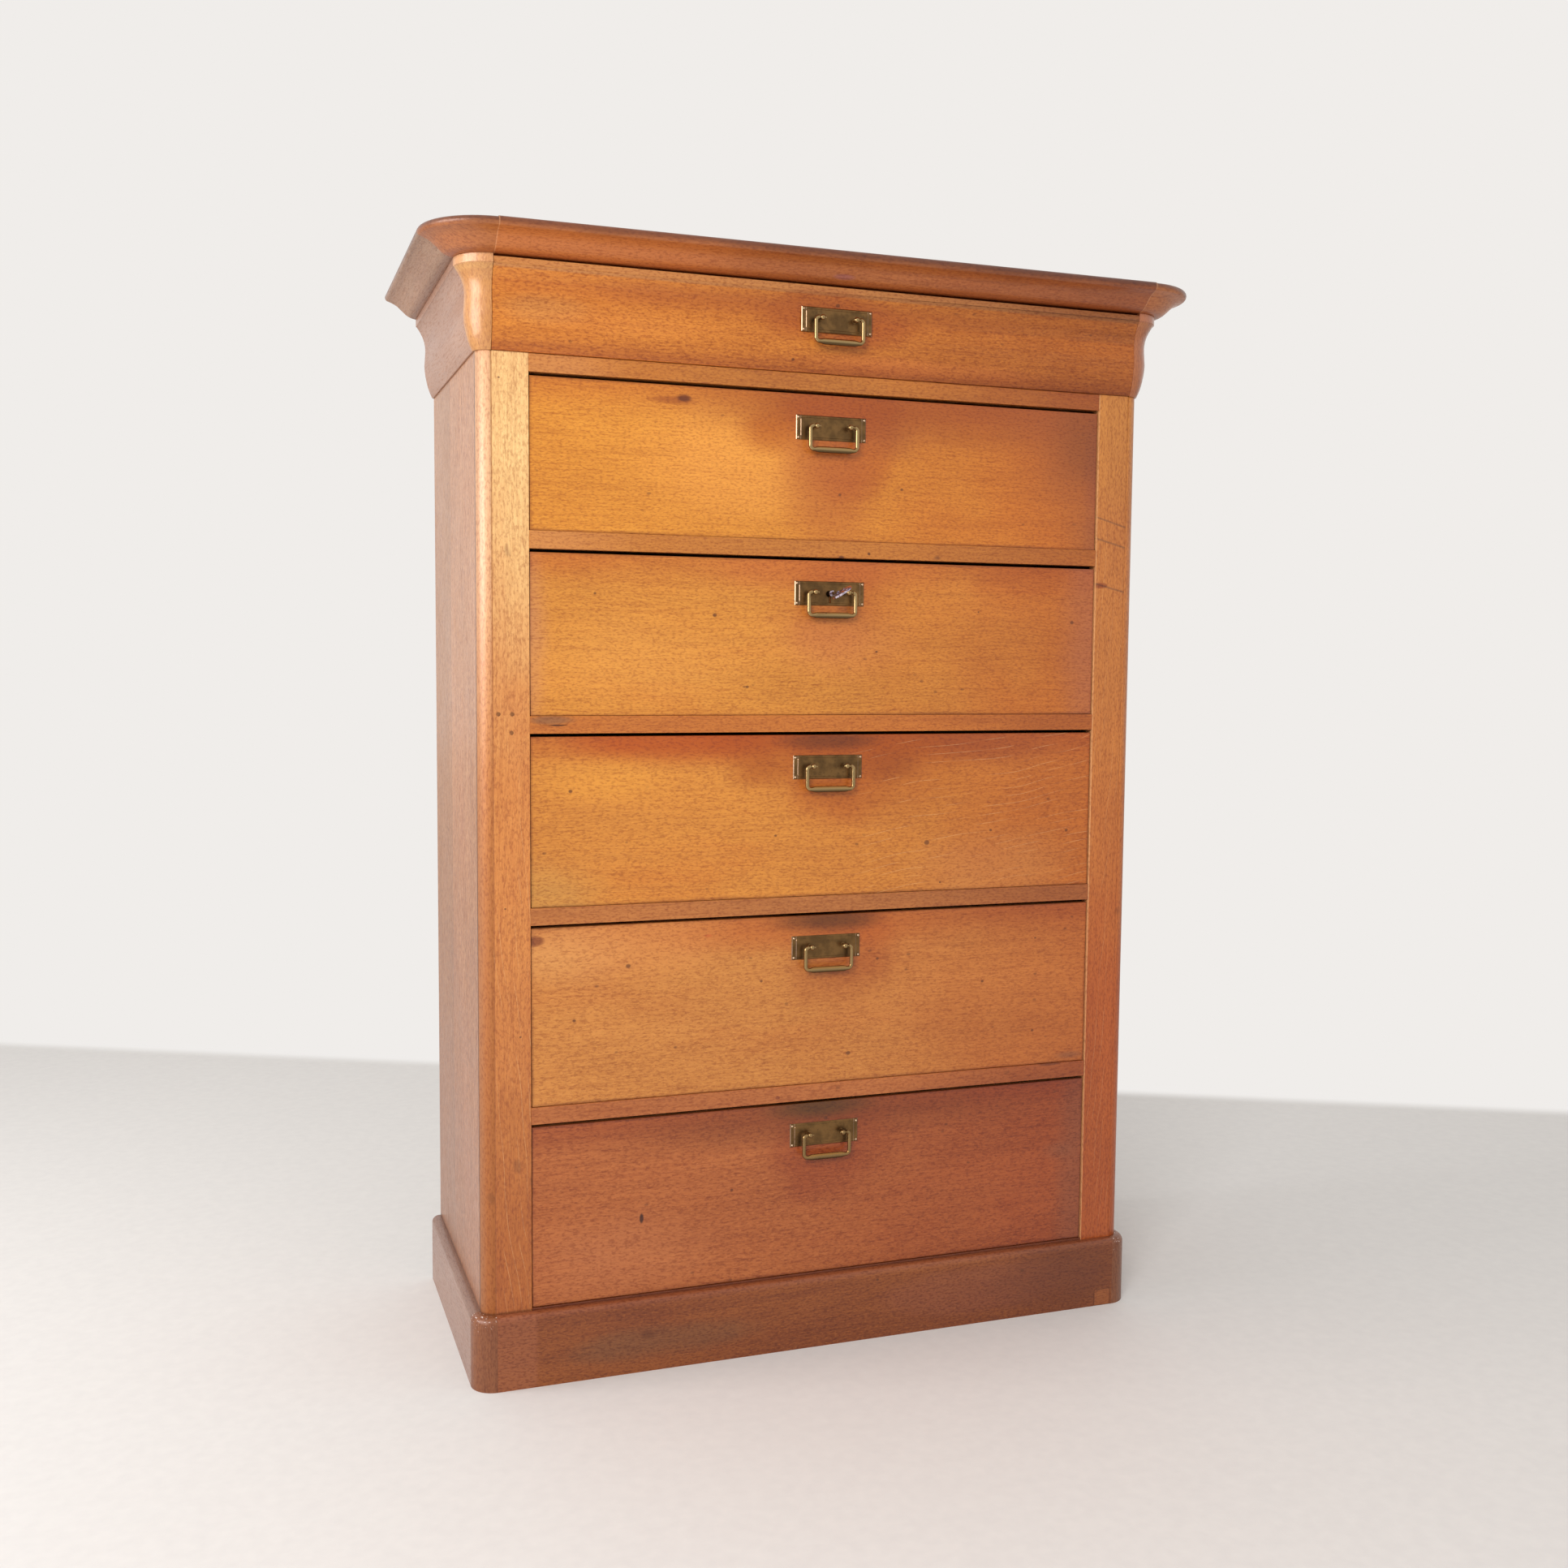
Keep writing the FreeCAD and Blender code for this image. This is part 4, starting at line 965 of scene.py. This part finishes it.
# %% Finish of the plinth
# Dark tones: partly the wood, partly painted shade near the floor.
plinth = Oak("oak_plinth_front", "#985624", "#783A18", "x", 71, figure=1.3)
plinth.over(plinth.x.rise(-0.406, -0.414) * 0.5, "#985838")
plinth.stain((-0.25, 0.04), (0.16, 0.03), "#6A4A30", 0.45, "MIX")
plinth.stain((0.25, 0.05), (0.2, 0.04), "#8A4C34", 0.4, "MIX")
plinth.fade("z", 0.092, 0.098, "#9C5C40", 0.4, "MIX")
plinth.cloud((0.40, 0.05), (0.12, 0.06), "#602C14", 0.6)
plinth.dots(((0.0783, 0.085, 0.003), (0.31, 0.07, 0.004)))
plinth.specks(12, 0.5)
plinth.done(solids["plinth_front"])
plinth = Oak("oak_plinth_sides", "#A67E6A", "#8E6A5C", "y", 73, wax=0.25)
plinth.fade("z", 0.088, 0.096, "#74503E", 0.6, "MIX")
plinth.done(solids["plinth_sides"])
plinth = Oak("oak_plinth_corners", "#8E5632", "#74442A", "z", 75)
chalk = plinth.pattern((300, 300, 300), 8, 2.0).rise(0.60, 0.68)
plinth.over(chalk * plinth.z.rise(0.075, 0.099) * 0.7, "#F0DCD4")
plinth.done(solids["plinth_corners"])
plinth = Oak("oak_plinth_patch", "#9C5A2C", "#8A4C24", "x", 77)
plinth.darken_edges("plinth_patch", 0.0016, 0.7, "#6A4028")
plinth.done(solids["plinth_patch"])
print("plinth finished")

# %% [markdown]
# ## Inside wood
# Nobody stains what nobody sees. Runners, guides, drawer boxes and the back are bare oak and
# pine, which has gone from white to a dusty tan.

# %% Finish of the bare wood
INSIDE = {
    "x": ["base_frame", "top_frame", "drawer_stops"],
    "y": ["drawer_runners", "drawer_guides"],
}
for number in range(1, 7):
    INSIDE["y"].append(f"drawer_{number}_box")
    INSIDE["x"].append(f"drawer_{number}_bottom")
for grain, nodes in INSIDE.items():
    wood = Oak(f"bare_wood_{grain}", "#CDAA7A", "#A88052", grain, 81, figure=1.4, wax=0.0)
    wood.rough = wood.rough + 0.25
    wood.specks(9, 0.5)
    wood.done(*(solids[node] for node in nodes))
print("inside pieces:", sum(len(nodes) for nodes in INSIDE.values()))

# %% Finish of the back
pine = Oak("pine_back", "#C8A472", "#A98252", "z", 85, wax=0.0, pitch=(back_low.x, board_width))
pine.rough = pine.rough + 0.28
own_tone = pine.node(
    "ShaderNodeTexWhiteNoise", {"noise_dimensions": "1D"}, {"W": pine.plank + 0.5}
)
pine.over(own_tone * 0.45, "#B89468", "MULTIPLY")
pine.specks(9, 0.5)
pine.fade("z", 0.35, 0.08, "#8E7050", 0.7)
for height in rail_heights:
    pine.over((pine.z - height).size().rise(0.016, 0.004) * 0.12, "#7A5A3A")
pine.done(back)
iron = Finish("nail_iron")
rust = iron.noise((400, 400, 400), 3, 2.0)
iron.set(Base_Color=iron.mix(rust, tone("#4A3A30"), tone("#6E4630")), Metallic=0.4)
iron.set(Roughness=0.55 + rust * 0.25)
iron.relief(rust, 0.0001, 0.4)
iron.wear(nails)
print("back and nails finished")

# %% [markdown]
# ## Brass and steel
# The handle plates are pressed from thin brass sheet and have gone olive-brown. Where fingers
# and dusters rub, on the balls, the pins and the bails, the metal is still bright, and that
# brightness is partly a painted highlight. It follows from how far a spot stands out from the
# plate, so the finish reads the depth. The plate edges carry painted highlights, the grip a
# painted reflection on top and painted shade beneath, and the keyhole is painted dark as shade.
# The lowest two drawers are opened least, so their handles are duller.

# %% How bright the duller handles are, and where the marks of a handle lie
RUBBED = {5: 0.8, 6: 0.5}
PLATE_HALF, PANEL_HALF = 0.0504, 0.0445
PIN_SPOT, PIN_RADIUS = (0.0480, 0.0135), 0.0018
PLATE_FACE = 0.0115
BAR_MIDDLE = 0.0042
KEYHOLE, KEYHOLE_REACH = (-0.001, 0.0170), (0.0056, 0.0050)
print("half a handle plate:", PLATE_HALF, "metres")


# %% Finish of the brass handles
def aged_brass(number):
    """Brass of one handle: dark plate, rubbed and with painted highlight where it stands out."""
    brass = Finish(f"aged_brass_{number}")
    plate_low, plate_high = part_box(f"drawer_{number}_handle_plate")
    across = brass.x.size()
    patches = brass.noise((260, 260, 260), number, 3.0)
    cloud = brass.noise((70, 70, 70), number + 0.4, 2.0)
    out = (plate_low.y + PLATE_FACE - brass.y).rise(0.002, 0.010)
    # Bright by how far a spot stands out: partly rubbed brass, partly painted highlight.
    rubbed_and_lit = (out * 0.8 + (patches - 0.5) * 0.6).rise(0.1, 0.75) * RUBBED.get(number, 1.0)
    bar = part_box(f"drawer_{number}_bail")[0].z + BAR_MIDDLE
    on_bar = across.rise(0.034, 0.030) * brass.z.rise(bar + 0.006, bar + 0.0045)
    plate_edge = (across - PLATE_HALF).size().rise(0.0009, 0.0003)
    panel_edge = (across - PANEL_HALF).size().rise(0.0008, 0.0003)
    rim = plate_edge.most(panel_edge * 0.8) * patches.rise(0.25, 0.45)
    pin_x = (across - PIN_SPOT[0]) / PIN_RADIUS
    pin_z = (brass.z - (plate_low.z + plate_high.z) / 2).size()
    pin_z = (pin_z - PIN_SPOT[1]) / PIN_RADIUS
    marks = [
        (patches.rise(0.55, 0.75) * 0.5, "#54402E"),
        (rubbed_and_lit, "#A88E62"),
        # Orange-brown on top of the grip: painted reflection of the wood. Dark under it: painted
        # shade.
        (on_bar * brass.z.rise(bar + 0.0005, bar + 0.003) * 0.7, "#A8763C"),
        (on_bar * brass.z.rise(bar + 0.0006, bar - 0.0026) * 0.8, "#46301F"),
        # Pale along the plate and panel edges: painted highlight, partly rubbed brass.
        (rim * 0.7, "#B4947C"),
        ((pin_x * pin_x + pin_z * pin_z).rise(1.0, 0.6) * 0.9, "#E6CCAC"),
    ]
    if number == 3:
        hole_x = (brass.x - KEYHOLE[0]) / KEYHOLE_REACH[0]
        hole_z = (brass.z - (plate_high.z - KEYHOLE[1])) / KEYHOLE_REACH[1]
        hole = (hole_x * hole_x + hole_z * hole_z).rise(1.0, 0.6)
        # Dark on the plate round the keyhole: painted shade in the hole.
        marks.append((hole * out.rise(0.5, 0.2) * 0.92, "#1E140E"))
    colour = brass.mix(cloud.rise(0.35, 0.65), tone("#6C5234"), tone("#84643E"))
    for share, code in marks:
        colour = brass.mix(share, colour, tone(code))
    brass.set(Base_Color=colour, Metallic=1.0)
    brass.set(Roughness=0.36 - rubbed_and_lit.most(rim) * 0.16 + (patches - 0.5) * 0.2)
    brass.relief(patches, 0.0001, 0.4)
    brass.wear(solids[f"drawer_{number}_handle_plate"], solids[f"drawer_{number}_bail"])


for number in range(1, 7):
    aged_brass(number)
print("brass handles: 6")

# %% Finish of the lock and its key
steel = Finish("lock_steel")
spots = steel.noise((180, 180, 180), 5, 3.0)
rust = spots.rise(0.58, 0.72)
steel.set(Base_Color=steel.mix(rust, tone("#8C8882"), tone("#5A3C28")), Metallic=1.0 - rust * 0.7)
steel.set(Roughness=0.42 + spots * 0.2)
steel.relief(spots, 0.0001, 0.4)
steel.wear(solids["lock_case"], solids["lock_bolt"])

chrome = Finish("key_chrome")
worn = chrome.noise((320, 320, 320), 9, 3.0)
chrome.set(Base_Color=chrome.mix(worn.rise(0.45, 0.6), tone("#D2C8D6"), tone("#7A6474")))
chrome.set(Metallic=1.0, Roughness=0.12 + worn.rise(0.45, 0.7) * 0.2)
chrome.relief(worn, 0.00005, 0.3)
chrome.wear(solids["key"])
print("lock and key finished")

# %% [markdown]
# ## The room
# The chest stands in a plain pale room. The floor is one large sheet, slightly grey near the
# chest. Behind a line where a wall would begin, and far away on all sides, it takes the tone of
# the backdrop, which the world shows to whatever looks at it. The world also lights the chest
# softly from all sides. Two lamps light it from the front and the left. The third one is a window
# that lights nothing: it is only mirrored, by the rounded, waxed and metal pieces.

# %% Floor
BACKDROP = tone("#F0EDEA")
FLOOR_RADIUS = 16
WALL_WAY, WALL_DISTANCE = (0.46, 0.888), 1.26
deselect_all()
bpy.ops.mesh.primitive_circle_add(vertices=96, radius=FLOOR_RADIUS, fill_type="NGON")
floor = bpy.context.object
floor.name = "floor"
paint = Finish("pale_floor")
wall = paint.x * WALL_WAY[0] + paint.y * WALL_WAY[1]
wall = wall.rise(WALL_DISTANCE - 0.04, WALL_DISTANCE + 0.04)
speck = paint.noise((60, 60, 60), 3, 3.0)
paint.set(Base_Color=paint.mix(speck, tone("#DCD9D7"), tone("#E6E3E0")), Roughness=0.7)
glow = paint.node("ShaderNodeEmission", inputs={"Color": BACKDROP, "Strength": 1.0})
ray = paint.node("ShaderNodeLightPath", output="Is Camera Ray")
far = (paint.x * paint.x + paint.y * paint.y).rise(7.0, 30.0)
seen = paint.node("ShaderNodeMixShader", inputs={0: wall.most(far) * ray, 2: glow})
paint.tree.links.new(paint.shader.outputs[0], seen.socket.node.inputs[1])
paint.tree.links.new(seen.socket, paint.tree.nodes["Material Output"].inputs[0])
paint.wear(floor)
print("floor:", floor.dimensions.x, "metres wide")

# %% World
ROOM_LIGHT = (1.0, 0.98, 0.95, 1.0)
ROOM_LIGHT_STRENGTH = 0.68
world = bpy.data.worlds.new("pale_room")
bpy.context.scene.world = world
world.use_nodes = True
tree = world.node_tree
shown = tree.nodes["Background"]
shown.inputs["Color"].default_value = BACKDROP
shown.inputs["Strength"].default_value = 1.0
light = tree.nodes.new("ShaderNodeBackground")
light.inputs["Color"].default_value = ROOM_LIGHT
light.inputs["Strength"].default_value = ROOM_LIGHT_STRENGTH
path = tree.nodes.new("ShaderNodeLightPath")
choice = tree.nodes.new("ShaderNodeMixShader")
seen = path.outputs["Is Camera Ray"]
for kind in ("Is Glossy Ray", "Is Transmission Ray"):
    either = tree.nodes.new("ShaderNodeMath")
    either.operation = "MAXIMUM"
    tree.links.new(seen, either.inputs[0])
    tree.links.new(path.outputs[kind], either.inputs[1])
    seen = either.outputs[0]
tree.links.new(seen, choice.inputs[0])
tree.links.new(light.outputs[0], choice.inputs[1])
tree.links.new(shown.outputs[0], choice.inputs[2])
tree.links.new(choice.outputs[0], tree.nodes["World Output"].inputs[0])
print("world:", world.name)


# %% Lamps
def soft_lamp(name, place, target, size, power):
    """A square lamp that shines from place towards target."""
    data = bpy.data.lights.new(name, "AREA")
    data.shape = "RECTANGLE"
    data.size, data.size_y = size
    data.energy = power
    lamp = bpy.data.objects.new(name, data)
    bpy.context.scene.collection.objects.link(lamp)
    lamp.location = place
    way = Vector(target) - Vector(place)
    lamp.rotation_euler = way.to_track_quat("-Z", "Y").to_euler()
    return lamp


key_lamp = soft_lamp("key_lamp", (-2.2, -3.4, 2.6), (0, 0, 0.8), (1.6, 1.6), 105)
key_lamp.visible_glossy = False
side_lamp = soft_lamp("side_lamp", (-2.8, 0.2, 1.6), (-0.4, -0.1, 1.0), (1.0, 1.6), 32)
side_lamp.visible_glossy = False
window = soft_lamp("window", (-2.75, -0.99, 1.55), (-0.48, -0.17, 1.15), (2.1, 1.7), 61)
window.visible_diffuse = False
mirrors = bpy.data.collections.new("pieces_that_mirror_the_window")
mirrors.objects.link(stiles["left"])
shiny = ["frieze_corners", "cornice_corners", "plinth_corners", "key"]
shiny += [f"drawer_{n}_{part}" for n in range(1, 7) for part in ("handle_plate", "bail")]
for node in shiny:
    mirrors.objects.link(solids[node])
window.light_linking.receiver_collection = mirrors

# %% [markdown]
# ## The camera
# The camera stands to the left of the chest's middle, at chest height, and looks slightly down.
# Its place and turn were worked out from the corners of the chest in the photograph.

# %% Camera
CAMERA_PLACE = Vector((-0.7963, -2.2170, 0.9622))
LENS, SENSOR = 36.55, 36
YAW, PITCH, ROLL = (math.radians(a) for a in (19.665, -4.379, 0.474))
ahead = Vector(
    (math.sin(YAW) * math.cos(PITCH), math.cos(YAW) * math.cos(PITCH), math.sin(PITCH))
)
right = Vector((math.cos(YAW), -math.sin(YAW), 0))
up = right.cross(ahead)
right_rolled = right * math.cos(ROLL) + up * math.sin(ROLL)
up_rolled = up * math.cos(ROLL) - right * math.sin(ROLL)
camera_data = bpy.data.cameras.new("camera")
camera_data.lens = LENS
camera_data.sensor_width = SENSOR
camera = bpy.data.objects.new("camera", camera_data)
bpy.context.scene.collection.objects.link(camera)
turn = Matrix((right_rolled, up_rolled, -ahead)).transposed()
camera.matrix_world = Matrix.Translation(CAMERA_PLACE) @ turn.to_4x4()
bpy.context.scene.camera = camera
bpy.context.scene.view_settings.view_transform = "Standard"
print("camera at", [round(v, 3) for v in camera.location])
